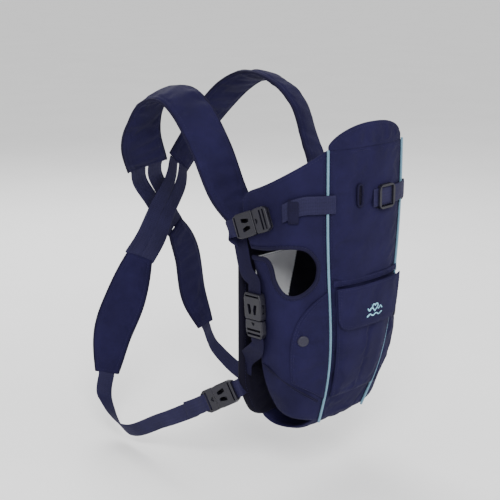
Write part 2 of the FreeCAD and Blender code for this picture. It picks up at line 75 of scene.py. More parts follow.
# The pouch's cross-section at each height: (x, y) control points from its right rear edge to its middle.
POUCH_ROWS = [
    (-230, [(-62, -64), (-66, -67), (-66, -71), (-52, -77), (-28, -76), (0, -76)]),
    (-195, [(-88, -56), (-92, -62), (-92, -76), (-66, -88), (-34, -90), (0, -90)]),
    (-150, [(-106, -36), (-112, -58), (-112, -82), (-76, -100), (-42, -111), (0, -112)]),
    (-80, [(-113, -40), (-119, -64), (-120, -84), (-81, -108), (-46, -125), (0, -127)]),
    (0, [(-117, -46), (-122, -68), (-122, -88), (-86, -112), (-48, -132), (0, -134)]),
    (80, [(-122, -12), (-125, -48), (-124, -84), (-90, -115), (-50, -134), (0, -137)]),
    (150, [(-122, -8), (-124, -46), (-122, -82), (-90, -115), (-54, -133), (0, -136)]),
    (235, [(-120, -8), (-121, -46), (-118, -82), (-90, -114), (-54, -131), (0, -134)]),
]
# Distance of the piped seams from the middle, at each height.
SEAM_HALF = [(-230, 45), (-195, 49), (-150, 55), (-80, 61), (0, 71), (80, 77), (150, 77), (235, 77)]


# ---------------------------------------------------------------- curves and surfaces
def basis(t, n):
    """Clamped uniform cubic B-spline weights of n control points at each t."""
    t = np.clip(np.atleast_1d(np.asarray(t, float)), 0, 1)
    degree = min(3, n - 1)
    spans = n - degree
    knots = np.clip(np.arange(n + degree + 1) - degree, 0, spans).astype(float)
    x = np.minimum(t * spans, spans - 1e-9)
    w = ((x[:, None] >= knots[None, :-1]) & (x[:, None] < knots[None, 1:])).astype(float)
    for d in range(1, degree + 1):
        nxt = np.zeros((len(x), len(knots) - 1 - d))
        for i in range(nxt.shape[1]):
            if knots[i + d] > knots[i]:
                nxt[:, i] += (x - knots[i]) / (knots[i + d] - knots[i]) * w[:, i]
            if knots[i + d + 1] > knots[i + 1]:
                nxt[:, i] += (knots[i + d + 1] - x) / (knots[i + d + 1] - knots[i + 1]) * w[:, i + 1]
        w = nxt
    return w


def spline(points, t):
    return basis(t, len(points)) @ np.asarray(points, float)


row_steps = np.linspace(0, 1, 1201)
row_levels = spline([(r[0],) for r in POUCH_ROWS], row_steps)[:, 0]
row_points = np.stack([spline([r[1][k] for r in POUCH_ROWS], row_steps) for k in range(6)], 1)
row_seams = spline([(r[1],) for r in SEAM_HALF], row_steps)[:, 0]


def seam_half(z):
    return np.interp(z, row_levels, row_seams)


def section(z):
    """Control points of the pouch's whole cross-section at each z."""
    z = np.atleast_1d(np.asarray(z, float))
    points = [[np.interp(z, row_levels, row_points[:, k, c]) for c in (0, 1)] for k in range(6)]
    half = np.moveaxis(np.array(points), -1, 0)
    other = half[:, 4::-1] * np.array([-1, 1])
    return np.concatenate([half, other], 1)


def flat_wall(s, z):
    return np.einsum("nk,nkc->nc", basis(s, 11), section(z))


def wall(s, z, offset=0.0):
    """Points and normals on the pouch at s (0 at its right rear edge, 1 at its left one) and z."""
    s, z, offset = np.broadcast_arrays(*[np.asarray(k, float) for k in (s, z, offset)])
    shape = s.shape
    s, z, offset = s.ravel(), z.ravel(), offset.ravel()
    p = flat_wall(s, z)
    da = flat_wall(np.minimum(s + 1e-3, 1), z) - flat_wall(np.maximum(s - 1e-3, 0), z)
    dz = flat_wall(s, z + 0.5) - flat_wall(s, z - 0.5)
    across = np.stack([da[:, 0], da[:, 1], np.zeros(len(s))], -1)
    along = np.stack([dz[:, 0], dz[:, 1], np.ones(len(s))], -1)
    normal = np.cross(across, along)
    normal /= np.linalg.norm(normal, axis=1, keepdims=True)
    points = np.concatenate([p, z[:, None]], 1) + normal * offset[:, None]
    return points.reshape(shape + (3,)), normal.reshape(shape + (3,))


def solve_s(value, z, axis, lo, hi):
    """s where the pouch's x (axis 0, rising) or y (axis 1, falling) is value at height z."""
    value, z = np.broadcast_arrays(np.asarray(value, float), np.asarray(z, float))
    shape = value.shape
    value, z = value.ravel(), z.ravel()
    lo, hi = np.full(value.shape, lo), np.full(value.shape, hi)
    sign = 1 if axis == 0 else -1
    for _ in range(26):
        mid = (lo + hi) / 2
        below = sign * (flat_wall(mid, z)[:, axis] - value) < 0
        lo, hi = np.where(below, mid, lo), np.where(below, hi, mid)
    return ((lo + hi) / 2).reshape(shape)


def s_of_x(x, z):
    """s where the pouch's front has this x at height z."""
    return solve_s(x, z, 0, 0.12, 0.88)


def path(points, t):
    """Points at each t on the smooth curve through points."""
    p = np.asarray(points, float)
    p = np.concatenate([[2 * p[0] - p[1]], p, [2 * p[-1] - p[-2]]])
    t = np.atleast_1d(np.asarray(t, float))
    spans = len(p) - 3
    k = np.minimum((t * spans).astype(int), spans - 1)
    f = (t * spans - k)[:, None]
    a, b, c, d = p[k], p[k + 1], p[k + 2], p[k + 3]
    return b + f / 2 * (c - a + f * (2 * a - 5 * b + 4 * c - d + f * (3 * b - 3 * c + d - a)))


def unit(v):
    return v / np.maximum(np.linalg.norm(v, axis=-1, keepdims=True), 1e-9)


def run_length(points):
    """Distance along a line of points, at each of them."""
    return np.concatenate([[0], np.cumsum(np.linalg.norm(np.diff(points, axis=0), axis=1))])


def even(points, pitch):
    """The same line of points, respaced evenly."""
    points = np.asarray(points, float)
    d = run_length(points)
    n = max(int(round(d[-1] / pitch)), 2)
    t = np.linspace(0, d[-1], n + 1)
    return np.stack([np.interp(t, d, points[:, c]) for c in range(points.shape[1])], 1)


def lumps(u, v, size, seed):
    """Smooth noise of about -1 to 1 over (u, v), in the same units as size."""
    r = np.random.default_rng(seed)
    out = np.zeros(np.broadcast(u, v).shape)
    for _ in range(7):
        angle, phase = r.uniform(0, 2 * math.pi, 2)
        f = 2 * math.pi / (size * r.uniform(0.6, 1.8))
        out += np.sin((u * math.cos(angle) + v * math.sin(angle)) * f + phase)
    return out / 3.2


def fade(distance, reach):
    """0 at no distance, rising to 1 at reach."""
    return np.clip(distance / reach, 0, 1)


def grid(u, v):
    return np.meshgrid(u, v, indexing="ij")


def raised(mid, normal, height):
    """A grid of points moved along its normals."""
    return mid + normal * height[..., None]


def mirrored(points, normals, sign):
    """Points and normals as they are on the right (sign 1) or mirrored to the left (-1)."""
    flip = np.array([sign, 1, 1])
    return np.asarray(points, float) * flip, np.asarray(normals, float) * flip


# ---------------------------------------------------------------- meshes
def new_object(name, verts, faces, uvs=None, smooth=True):
    mesh = bpy.data.meshes.new(name)
    mesh.from_pydata((np.asarray(verts) * MM).tolist(), [], [tuple(int(i) for i in f) for f in faces])
    mesh.update()
    if uvs is not None:
        layer = mesh.uv_layers.new(name="cloth")
        index = np.empty(len(mesh.loops), int)
        mesh.loops.foreach_get("vertex_index", index)
        layer.data.foreach_set("uv", (np.asarray(uvs)[index] * MM).ravel())
    if smooth:
        mesh.polygons.foreach_set("use_smooth", np.ones(len(mesh.polygons), bool))
    obj = bpy.data.objects.new(name, mesh)
    bpy.context.scene.collection.objects.link(obj)
    return obj


def grid_faces(na, nb, start=0, flip=False, keep=None):
    """Quads over an na x nb grid of vertices."""
    i, j = np.meshgrid(np.arange(na - 1), np.arange(nb - 1), indexing="ij")
    a = start + i * nb + j
    f = np.stack([a, a + nb, a + nb + 1, a + 1], -1).reshape(-1, 4)
    if keep is not None:
        f = f[keep.reshape(-1)]
    return f[:, ::-1] if flip else f


def arc_uv(points):
    """Distances across and along a grid of points, measured from its middle, for its cloth's grain."""
    du = np.linalg.norm(np.diff(points, axis=0), axis=2).mean(1)
    dv = np.linalg.norm(np.diff(points, axis=1), axis=2).mean(0)
    u = np.concatenate([[0], np.cumsum(du)])
    v = np.concatenate([[0], np.cumsum(dv)])
    return np.stack(np.meshgrid(u - u[-1] / 2, v - v[-1] / 2, indexing="ij"), -1)


def pillow(name, mid, normal, half, keep=None):
    """Closed soft piece about a grid of middle points: two faces of fabric, joined at every edge."""
    na, nb = mid.shape[:2]
    outer, inner = raised(mid, normal, half), raised(mid, normal, -half)
    uv = arc_uv(mid).reshape(-1, 2)
    n = na * nb
    fo, fi = grid_faces(na, nb, 0, False, keep), grid_faces(na, nb, n, True, keep)
    edges = {}  # edges of one face only, which are on the rim
    for f in fo:
        for a, b in zip(f, np.roll(f, -1)):
            key = (min(a, b), max(a, b))
            edges[key] = None if key in edges else (a, b)
    rim = [(b, a, a + n, b + n) for a, b in (e for e in edges.values() if e)]
    obj = new_object(name, np.concatenate([outer.reshape(-1, 3), inner.reshape(-1, 3)]),
                     list(fo) + list(fi) + rim, np.concatenate([uv, uv]))
    bm = bmesh.new()
    bm.from_mesh(obj.data)
    used = np.array([bool(v.link_faces) for v in bm.verts])
    bmesh.ops.delete(bm, geom=[v for v in bm.verts if not v.link_faces], context="VERTS")
    bmesh.ops.recalc_face_normals(bm, faces=bm.faces)
    bm.to_mesh(obj.data)
    bm.free()
    return obj, used


def cloth_lumps(mid, size, seed, across=1.0, along=1.0):
    """lumps() over a piece's own grain, stretched across or along it."""
    uv = arc_uv(mid)
    return lumps(uv[..., 0] * across, uv[..., 1] * along, size, seed)


def edge_distance(mid):
    """Distance of each grid point from the grid's nearest edge, along the grid."""
    du = np.linalg.norm(np.diff(mid, axis=0), axis=2)
    dv = np.linalg.norm(np.diff(mid, axis=1), axis=2)
    u = np.concatenate([np.zeros((1, mid.shape[1])), np.cumsum(du, 0)])
    v = np.concatenate([np.zeros((mid.shape[0], 1)), np.cumsum(dv, 1)], 1)
    return np.minimum(np.minimum(u, u[-1:] - u), np.minimum(v, v[:, -1:] - v))


def padding(distance, full, edge=0.7, reach=9.0):
    """Half thickness of a stuffed piece, by the distance from its sewn edge."""
    k = np.clip(distance / reach, 0, 1)
    return edge + (full - edge) * np.sqrt(1 - (1 - k) ** 2)


def stuff(obj, pinned, pressure=3.0, cap=3.0, slack=0.03, frames=16):
    """Cloth simulation: the fabric is blown out against its pinned seams, then its travel is capped."""
    group = obj.vertex_groups.new(name="sewn")
    for i, w in enumerate(pinned):
        if w > 0:
            group.add([i], float(w), "REPLACE")
    start = np.empty(len(obj.data.vertices) * 3)
    obj.data.vertices.foreach_get("co", start)
    mod = obj.modifiers.new("cloth", "CLOTH")
    c = mod.settings
    c.quality = 4
    c.mass = 0.25
    c.tension_stiffness = c.compression_stiffness = 12
    c.shear_stiffness = 6
    c.bending_stiffness = 0.35
    c.use_pressure = True
    c.uniform_pressure_force = pressure
    c.shrink_min = c.shrink_max = -slack
    c.vertex_group_mass = "sewn"
    c.pin_stiffness = 1.0
    c.effector_weights.gravity = 0
    mod.point_cache.frame_start, mod.point_cache.frame_end = 1, frames
    scene = bpy.context.scene
    for f in range(1, frames + 1):
        scene.frame_set(f)
    done = obj.evaluated_get(bpy.context.evaluated_depsgraph_get())
    end = np.empty_like(start)
    done.data.vertices.foreach_get("co", end)
    obj.modifiers.remove(mod)
    obj.vertex_groups.remove(group)
    scene.frame_set(1)
    if not np.all(np.isfinite(end)):
        return
    move = (end - start).reshape(-1, 3)
    length = np.maximum(np.linalg.norm(move, axis=1, keepdims=True), 1e-9)
    move *= np.tanh(length / (cap * MM)) * (cap * MM) / length
    obj.data.vertices.foreach_set("co", (start + move.ravel()))
    obj.data.update()


def finish_piece(obj, material, body="carrier", replaces=(), slot=None, levels=1, padded=None):
    """Material, smoothing and body of a piece, hiding the CAD parts it replaces."""
    obj.data.materials.append(material)
    if levels:
        m = obj.modifiers.new("fine", "SUBSURF")
        m.levels = m.render_levels = levels
    if body:
        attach(obj, body)
    if replaces:
        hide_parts(*replaces)
    return obj


# ---------------------------------------------------------------- materials
def shade(c, k):
    return tuple(min(1.0, x * k) for x in c)


class Look:
    """A procedural material, with short ways to add nodes to it."""

    def __init__(self, name):
        self.material = bpy.data.materials.new(name)
        self.material.use_nodes = True
        self.tree = self.material.node_tree
        self.tree.nodes.clear()
        self.shader = self.node("BsdfPrincipled")
        self.link(self.shader.outputs[0], self.node("OutputMaterial").inputs[0])

    def node(self, kind):
        return self.tree.nodes.new("ShaderNode" + kind)

    def link(self, value, target):
        """Gives a socket a number or another socket's value."""
        if isinstance(value, (int, float)):
            target.default_value = value
        else:
            self.tree.links.new(value, target)

    def math(self, op, *values):
        n = self.node("Math")
        n.operation = op
        for value, target in zip(values, n.inputs):
            self.link(value, target)
        return n.outputs[0]

    def add(self, a, b):
        return self.math("ADD", a, b)

    def times(self, a, b):
        return self.math("MULTIPLY", a, b)

    def wave(self, along, turn):
        return self.math("SINE", self.times(along, turn))

    def coordinates(self):
        return self.node("TexCoord").outputs["Object"]

    def noise(self, vector, scale, detail=3.0, rough=0.55):
        n = self.node("TexNoise")
        for socket, value in (("Vector", vector), ("Scale", scale), ("Detail", detail), ("Roughness", rough)):
            self.link(value, n.inputs[socket])
        return n.outputs["Fac"]

    def ramp(self, factor, stops):
        r = self.node("ValToRGB")
        e = r.color_ramp.elements
        for element, (position, color) in zip((e[0], e[1]), (stops[0], stops[-1])):
            element.position, element.color = position, (*color, 1)
        for position, color in stops[1:-1]:
            e.new(position).color = (*color, 1)
        self.link(factor, r.inputs[0])
        return r.outputs[0]

    def bump(self, height, strength, distance, under=None):
        n = self.node("Bump")
        for socket, value in (("Height", height), ("Strength", strength), ("Distance", distance)):
            self.link(value, n.inputs[socket])
        if under is not None:
            self.link(under, n.inputs["Normal"])
        return n.outputs[0]

    def finish(self, **inputs):
        """Links or sets the shader's inputs, named with _ for each space."""
        for name, value in inputs.items():
            self.link(value, self.shader.inputs[name.replace("_", " ")])
        return self.material


def weave_height(look, weave, turn):
    """Height of the threads over the piece's own grain; turn is one thread's turn per metre."""
    uv, sep = look.node("UVMap"), look.node("SeparateXYZ")
    uv.uv_map = "cloth"
    look.link(uv.outputs[0], sep.inputs[0])
    u, v = sep.outputs[0], sep.outputs[1]
    if weave == "twill":
        rib = look.wave(look.add(u, v), turn * 0.7)
        return look.add(look.times(rib, 0.35), look.times(look.wave(v, turn * 1.4), 0.12))
    if weave == "web":
        columns = look.times(look.wave(u, turn * 0.33), 0.8)
        return look.times(look.add(look.wave(v, turn * 0.5), columns), 0.3)
    return look.times(look.times(look.wave(u, turn), look.wave(v, turn)), 0.4)


def cloth_material(name, color, weave="twill", thread=0.75, bump=0.3, rough=0.86, sheen=0.05, vary=0.3):
    """Woven fabric: thread-scale weave, slubs and soft wear, laid along the piece's own grain; the threads'
    height is also put into the colour, as painted light on their tops and painted shade between them.
    """
    look = Look(name)
    height = weave_height(look, weave, 2 * math.pi / (thread * MM))
    place = look.coordinates()
    broad, fine = look.noise(place, 22.0, 4.0), look.noise(place, 420.0, 3.0, 0.7)
    # The threads' height is added into the colour: painted light on the threads' tops and painted shade
    # between them.
    tone_and_weave_shade = look.add(look.add(look.times(broad, 0.75), look.times(fine, 0.25)), look.times(height, 0.16))
    stops = [(0.25, shade(color, 1 - vary)), (0.5, color), (0.78, shade(color, 1 + vary * 1.3))]
    crumple = look.bump(look.noise(place, 60.0, 3.0, 0.5), 0.22, 0.004)
    threads = look.bump(look.add(height, look.times(fine, 0.9)), bump, 0.0004, crumple)
    look.shader.inputs["Sheen Tint"].default_value = (*shade(color, 4.0), 1)
    wear = look.add(look.times(fine, 0.16), rough - 0.08)
    return look.finish(Base_Color=look.ramp(tone_and_weave_shade, stops), Roughness=wear, Specular_IOR_Level=0.12,
                       Sheen_Weight=sheen, Sheen_Roughness=0.45, Normal=threads)


def plastic_material(name, color, rough=0.38, grain=0.12):
    """Moulded nylon or acetal: fine spark-eroded grain, soft scuffs and a little dust in its colour."""
    look = Look(name)
    place = look.coordinates()
    broad = look.noise(place, 90.0, 4.0)
    stops = [(0.3, shade(color, 0.8)), (0.55, color), (0.8, shade(color, 1.35))]
    wear = look.add(look.times(broad, 0.22), rough - 0.08)
    eroded = look.bump(look.noise(place, 2600.0, 2.0), grain, 0.0001)
    return look.finish(Base_Color=look.ramp(broad, stops), Roughness=wear, Specular_IOR_Level=0.35,
                       Normal=eroded)


NAVY = (0.0080, 0.0064, 0.0300)
shell_fabric = cloth_material("shell_fabric", NAVY, "twill", 0.8)
strap_fabric = cloth_material("strap_fabric", (0.0084, 0.0068, 0.0310), "twill", 0.8)
# The lining is painted much darker than the shell fabric: painted shade for the harness, which sits in shade
# behind the pouch, and for the chest webbing's slot.
lining_painted_shade_fabric = cloth_material("lining_painted_shade_fabric", (0.0030, 0.0022, 0.0085), "plain", 0.7, sheen=0.02)
web_fabric = cloth_material("web_fabric", (0.0125, 0.0110, 0.0360), "web", 1.5, 0.55, 0.7, 0.04)
tape_fabric = cloth_material("tape_fabric", (0.0058, 0.0046, 0.0200), "web", 1.1, 0.35, 0.78, 0.03)
piping_fabric = cloth_material("piping_fabric", (0.125, 0.225, 0.30), "plain", 0.9, 0.5, 0.6, 0.1, 0.15)
emblem_fabric = cloth_material("emblem_fabric", (0.24, 0.50, 0.62), "web", 0.7, 0.6, 0.5, 0.1, 0.2)
# Light grey painted onto a sheet: painted shade of the grey backdrop that shows through both arm holes.
painted_backdrop_shade_fabric = cloth_material("painted_backdrop_shade_fabric", (0.74, 0.75, 0.77), "plain", 0.8, 0.3, 0.8, 0.05, 0.08)
hook_fabric = cloth_material("hook_fabric", (0.0050, 0.0042, 0.0150), "plain", 1.3, bump=0.9, rough=0.9)
thread = cloth_material("thread", (0.0150, 0.0130, 0.0450), "plain", 0.4, rough=0.6, sheen=0.03, vary=0.15)
buckle_plastic = plastic_material("buckle_plastic_look", (0.0058, 0.0052, 0.0115), 0.42)
# Prongs: a darker copy of the buckle plastic, painted shade for the recess they sit in.
prong_painted_shade_plastic = plastic_material("prong_painted_shade_plastic_look", (0.0040, 0.0036, 0.0080), 0.45)
snap_plastic = plastic_material("snap_plastic_look", (0.0120, 0.0110, 0.0250), 0.5, 0.2)


# ---------------------------------------------------------------- sewing
def ring_faces(rings, sides):
    """Faces of a closed skin over rings of vertices, with a cap at each end."""
    faces = []
    for i in range(rings - 1):
        for j in range(sides):
            k = (j + 1) % sides
            faces.append((i * sides + j, i * sides + k, (i + 1) * sides + k, (i + 1) * sides + j))
    return faces + [tuple(range(sides))[::-1], tuple((rings - 1) * sides + j for j in range(sides))]


def tube(points, radius, sides=8, flat=1.0, up=None):
    """Verts, faces and uvs of a round cord along points; flat squashes it along up."""
    p = np.asarray(points, float)
    tangent = unit(np.gradient(p, axis=0))
    up = np.tile([0.0, 0.0, 1.0], (len(p), 1)) if up is None else np.asarray(up, float)
    side = unit(np.cross(tangent, up))
    up = unit(np.cross(side, tangent))
    a = np.linspace(0, 2 * math.pi, sides, endpoint=False)
    ring = side[:, None] * np.cos(a)[None, :, None] + up[:, None] * np.sin(a)[None, :, None] * flat
    verts = (p[:, None] + radius * ring).reshape(-1, 3)
    uv = np.stack(np.meshgrid(run_length(p), a * radius, indexing="ij"), -1)[..., ::-1]
    return verts, ring_faces(len(p), sides), uv.reshape(-1, 2)


class Batch:
    """Many small shapes gathered into one object."""

    def __init__(self):
        self.verts, self.faces, self.uvs, self.count = [], [], [], 0

    def add(self, verts, faces, uvs):
        self.verts.append(verts)
        self.uvs.append(uvs)
        self.faces += [tuple(i + self.count for i in f) for f in faces]
        self.count += len(verts)

    def make(self, name):
        return new_object(name, np.concatenate(self.verts), self.faces, np.concatenate(self.uvs))


def stitch_line(batch, points, normals, length=3.0, gap=1.3, radius=0.36, lift=0.12):
    """A row of lockstitches along points, each one sinking at both ends."""
    if len(points) < 3:
        return
    line = even(np.concatenate([points, normals], 1), 0.6)
    p, n = line[:, :3], unit(line[:, 3:])
    d = run_length(p)
    at = 0.5
    while at + length < d[-1]:
        t = np.linspace(at, at + length, 5)
        q = np.stack([np.interp(t, d, p[:, c]) for c in range(3)], 1)
        m = unit(np.stack([np.interp(t, d, n[:, c]) for c in range(3)], 1))
        rise = np.array([-0.45, 0.02, 0.12, 0.02, -0.45]) + lift
        batch.add(*tube(q + m * rise[:, None], radius, 5, 0.7, m))
        at += length + gap


def ribbon_frame(line, across, widths, n, cross_n=13):
    """Middle-surface grid and normals of a strap."""
    t = np.linspace(0, 1, n)
    c = path(line, t)
    tangent = unit(path(line, np.minimum(t + 0.01, 1)) - path(line, np.maximum(t - 0.01, 0)))
    side = spline(across, t)
    side = unit(side - tangent * np.sum(side * tangent, 1, keepdims=True))
    normal = np.cross(tangent, side)
    half = spline([(w,) for w in widths], t)[:, 0] / 2
    x = np.linspace(-1, 1, cross_n)
    mid = c[None] + side[None] * (half[None, :, None] * x[:, None, None])
    return mid, np.broadcast_to(normal[None], mid.shape).copy()


def inset_line(mid, normal, half, edge, d0):
    """Points and normals on a piece's outer face, d0 in from one of its edges (a0, a1, b0 or b1)."""
    outer = mid + normal * half[..., None]
    both = np.concatenate([outer, normal], 2)
    both = both if edge[0] == "a" else both.swapaxes(0, 1)
    both = both[::-1] if edge[1] == "1" else both
    step = np.linalg.norm(np.diff(both[..., :3], axis=0), axis=2)
    dist = np.concatenate([np.zeros((1, both.shape[1])), np.cumsum(step, 0)])
    columns = range(both.shape[1])
    line = np.stack([[np.interp(d0, dist[:, j], both[:, j, c]) for c in range(6)] for j in columns])
    along = run_length(line[:, :3])
    line = line[(along > d0) & (along < along[-1] - d0)]
    return line[:, :3], unit(line[:, 3:])


def topstitch(batch, mid, normal, half, edges, inset, faces=(1,)):
    """Rows of stitches on a piece, inset from its edges."""
    for edge in edges.split():
        for face in faces:
            stitch_line(batch, *inset_line(mid, normal * face, half, edge, inset))


def seamed(distance, full, edge=0.8, reach=9.0, seams=(5.0,), depth=0.35):
    """Half thickness of a padded piece with topstitched channels, and how firmly each point is sewn down."""
    h = padding(distance, full, edge, reach)
    pin = np.clip(1.6 - distance, 0, 1)
    for d in seams:
        dip = np.exp(-(((distance - d) / 1.7) ** 2))
        h = h * (1 - depth * dip)
        pin = np.maximum(pin, np.where(np.abs(distance - d) < 1.5, 1.0, 0.0))
    return h, pin


def fabric_piece(name, mid, normal, half, pin, material=shell_fabric, keep=None, cap=2.5, slack=0.03,
                 slot="shell_fabric", padded=0.5, **rest):
    """Padded piece: its closed mesh, cloth simulation and finish."""
    obj, used = pillow(name, mid, normal, half, keep)
    stuff(obj, np.tile(pin.ravel(), 2)[used], cap=cap, slack=slack)
    return finish_piece(obj, material, slot=slot, padded=padded, **rest)


def strap(name, line, across, widths, thickness, seam, crease, stitches, seed, n, replaces):
    """Padded strap along a line, with its rows of stitches."""
    mid, normal = ribbon_frame(line, across, widths, n, 21)
    mid = raised(mid, normal, cloth_lumps(mid, 26, seed, across=0.35) * crease)
    half, pin = seamed(edge_distance(mid), thickness / 2, seams=(seam,))
    topstitch(stitches, mid, normal, half, ALL_EDGES, seam, BOTH)
    return fabric_piece(name, mid, normal, half, pin, strap_fabric, cap=2.4, padded=0.7, replaces=replaces)


def band_thickness(mid, thickness=WEB_T):
    """Half thickness of flat webbing, softer at its edges."""
    return thickness / 2 * np.clip(0.55 + edge_distance(mid) / 3.0, 0, 1)


def webbing(name, lines, material=None, width=WEB, n=60, ripple=0.15, replaces=()):
    """Flat webbing along each of lines, which are pairs of points and width directions, as one piece."""
    batch = Batch()
    for k, (points, across) in enumerate(lines):
        mid, normal = ribbon_frame(points, across, [width] * 2, n, 9)
        mid = raised(mid, normal, cloth_lumps(mid, 34, 3 + k, across=0.3) * ripple)
        obj, _ = pillow("piece", mid, normal, band_thickness(mid))
        mesh = obj.data
        place, coords = np.empty(len(mesh.vertices) * 3), np.empty(len(mesh.loops) * 2)
        index, uvs = np.empty(len(mesh.loops), int), np.zeros((len(mesh.vertices), 2))
        mesh.vertices.foreach_get("co", place)
        mesh.uv_layers[0].data.foreach_get("uv", coords)
        mesh.loops.foreach_get("vertex_index", index)
        uvs[index] = coords.reshape(-1, 2)
        batch.add(place.reshape(-1, 3) / MM, [tuple(f.vertices) for f in mesh.polygons], uvs / MM)
        bpy.data.objects.remove(obj)
    return finish_piece(batch.make(name), material or web_fabric, replaces=replaces, slot="webbing")


SIDES = {"right": 1, "left": -1}
stitches = Batch()


# ---------------------------------------------------------------- pouch
# (y, z) round the arm hole, from the rear end of its slit's upper side to the rear end of its lower side
HOLE_OUTLINE = [(-30, 47.5), (-44, 48), (-62, 50), (-80, 53.5), (-94, 54.5), (-104, 52), (-110, 43),
                (-113.5, 30), (-113, 15), (-110.5, 3), (-104.5, -8), (-97, -14.5), (-89.5, -15.5),
                (-82, -10.5), (-75, -1), (-70, 9), (-67, 21), (-62, 30), (-54, 34), (-44, 33), (-30, 32.5)]


def hole_line():
    """(y, z) along the arm hole's edge, at even steps."""
    return even(path(HOLE_OUTLINE, np.linspace(0, 1, 400)), 1.0)


def hole_nearest(y, z):
    """Distance outside the arm hole's edge, in the plane the hole is cut in, and the edge's nearest point."""
    edge = hole_line()
    q = np.stack([np.ravel(y), np.ravel(z)], 1)
    best = np.empty(len(q), int)
    for k in range(0, len(q), 4000):
        part = q[k:k + 4000]
        best[k:k + 4000] = ((part[:, None] - edge[None]) ** 2).sum(2).argmin(1)
    along = unit(np.gradient(edge, axis=0))[best]
    away = q - edge[best]
    outside = np.sign(away[:, 0] * along[:, 1] - away[:, 1] * along[:, 0] + 1e-9)
    return (np.hypot(*away.T) * outside).reshape(np.shape(y)), edge[best].reshape(np.shape(y) + (2,))


def hole_sdf(y, z):
    return hole_nearest(y, z)[0]


def make_wing(side, sign):
    a, b = grid(np.linspace(0, 1, 66), np.linspace(0, 1, 128))
    top = WING_REAR_Z + (FOLD_Z - WING_REAR_Z) * a**0.9
    bottom = SIDE_BOTTOM_Z + (POUCH_BOTTOM_Z - SIDE_BOTTOM_Z) * a
    round_corner = 10 * np.clip(1 - a / 0.09, 0, 1) ** 2
    z = bottom + (top - round_corner - bottom) * b
    zr = z.ravel()
    seam = (1 - s_of_x(seam_half(zr), zr)).reshape(z.shape)
    s = (seam - 0.001) * a
    y = flat_wall(s.ravel(), zr)[:, 1].reshape(s.shape)
    d = hole_sdf(y, z)
    keep = (d[:-1, :-1] + d[1:, :-1] + d[:-1, 1:] + d[1:, 1:]) > 0
    touched, kept = np.zeros(d.shape, bool), np.zeros(d.shape, bool)
    rows, columns = keep.shape
    for i, j in ((0, 0), (1, 0), (0, 1), (1, 1)):
        touched[i:i + rows, j:j + columns] |= ~keep
        kept[i:i + rows, j:j + columns] |= keep
    rim = touched & kept
    nearest = hole_nearest(y, z)[1]
    y = np.where(rim, nearest[..., 0], y)
    z = np.where(rim, nearest[..., 1], z)
    inside = rim & (a > 0.01)
    s = np.where(inside, solve_s(y, z, 1, 0.0, 0.4), s)
    mid, normal = mirrored(*wall(s, z, WALL / 2), sign)
    wave = cloth_lumps(mid, 60, 21 + sign, along=0.7) * 1.1
    wave += cloth_lumps(mid, 24, 5 + sign) * 0.35
    distance = np.minimum(edge_distance(mid), np.abs(hole_sdf(y, z)) + np.where(rim, 0, 0.5))
    mid = raised(mid, normal, wave * fade(distance, 14))
    half, pin = seamed(distance, 2.9, seams=(4.5,))
    for edge in ALL_EDGES.split():
        p, n = inset_line(mid, normal, half, edge, 4.5)
        clear = hole_sdf(p[:, 1], p[:, 2]) > 6
        for run in np.split(np.arange(len(p)), np.where(np.diff(clear.astype(int)) != 0)[0] + 1):
            if clear[run[0]] and len(run) > 3:
                stitch_line(stitches, p[run], n[run])
    fabric_piece("side_wing_fabric_" + side, mid, normal, half, pin, keep=keep, cap=2.2,
                 replaces=("side_wing_" + side,))


def make_wing_seams():
    """Welted seam that crosses each side of the pouch below its gathering tab."""
    batch = Batch()
    route = path([(0.012, -117), (0.055, -123), (0.11, -134), (0.17, -148), (0.23, -161), (0.282, -172)],
                 np.linspace(0, 1, 90))
    scale = np.array([300.0, 1.0])  # one unit of s is about 300 mm here
    line = even(route * scale, 2.0) / scale
    top, n = wall(line[:, 0], line[:, 1], WALL + 0.9)
    below, m = wall(line[:, 0], line[:, 1] - 3.6, WALL + 0.5)
    for sign in SIDES.values():
        points, up = mirrored(top, n, sign)
        batch.add(*tube(points, 1.5, 10, 0.75, up))
        stitch_line(stitches, *mirrored(below, m, sign))
    finish_piece(batch.make("side_wing_welts"), tape_fabric, slot="shell_fabric")


def make_arm_bindings():
    batch = Batch()
    yz = even(hole_line(), 2.0)
    s = solve_s(yz[:, 0], yz[:, 1], 1, 0.0, 0.4)
    p, n = wall(s, yz[:, 1], WALL / 2)
    for sign in SIDES.values():
        q, m = mirrored(p, n, sign)
        batch.add(*tube(q, 3.3, 12, 1.05, m))
        out = unit(np.cross(np.gradient(q, axis=0), m)) * (-sign)
        for face in BOTH:
            stitch_line(stitches, q + m * face * 2.9 + out * 1.9, m * face)
    finish_piece(batch.make("arm_hole_binding"), tape_fabric, replaces=("arm_bindings",), slot="binding_tape")


def front_grid(x_half, z_low, z_high, na, nb, offset):
    """Grid on the front of the pouch; x_half(z) each side of its middle."""
    a, b = grid(np.linspace(-1, 1, na), np.linspace(0, 1, nb))
    low = z_low(a) if callable(z_low) else z_low
    high = z_high(a) if callable(z_high) else z_high
    z = low + (high - low) * b
    x = x_half(z) * a
    return wall(s_of_x(x, z), z, offset) + (x, z)


def make_front():
    mid, normal, x, z = front_grid(lambda z: seam_half(z) - 1.0, POUCH_BOTTOM_Z, FOLD_Z, 45, 116, WALL / 2)
    distance = edge_distance(mid)
    wave = cloth_lumps(mid, 70, 4, along=0.6) * 0.9 + cloth_lumps(mid, 22, 9) * 0.3
    slot = np.clip(1.6 - np.hypot((x - SLOT_X) / 8, (z - SLOT_Z) / 19), 0, 1)
    mid = raised(mid, normal, wave * fade(distance, 14) * (1 - slot) - 0.8 * slot)
    half, pin = seamed(distance, 2.8, seams=(4.5,))
    pin = np.maximum(pin, np.clip(2 * slot, 0, 1))
    topstitch(stitches, mid, normal, half, "a0 a1 b1", 4.5)
    fabric_piece("front_panel_fabric", mid, normal, half, pin, cap=2.0,
                 replaces=("front_panel", "front_lining"))


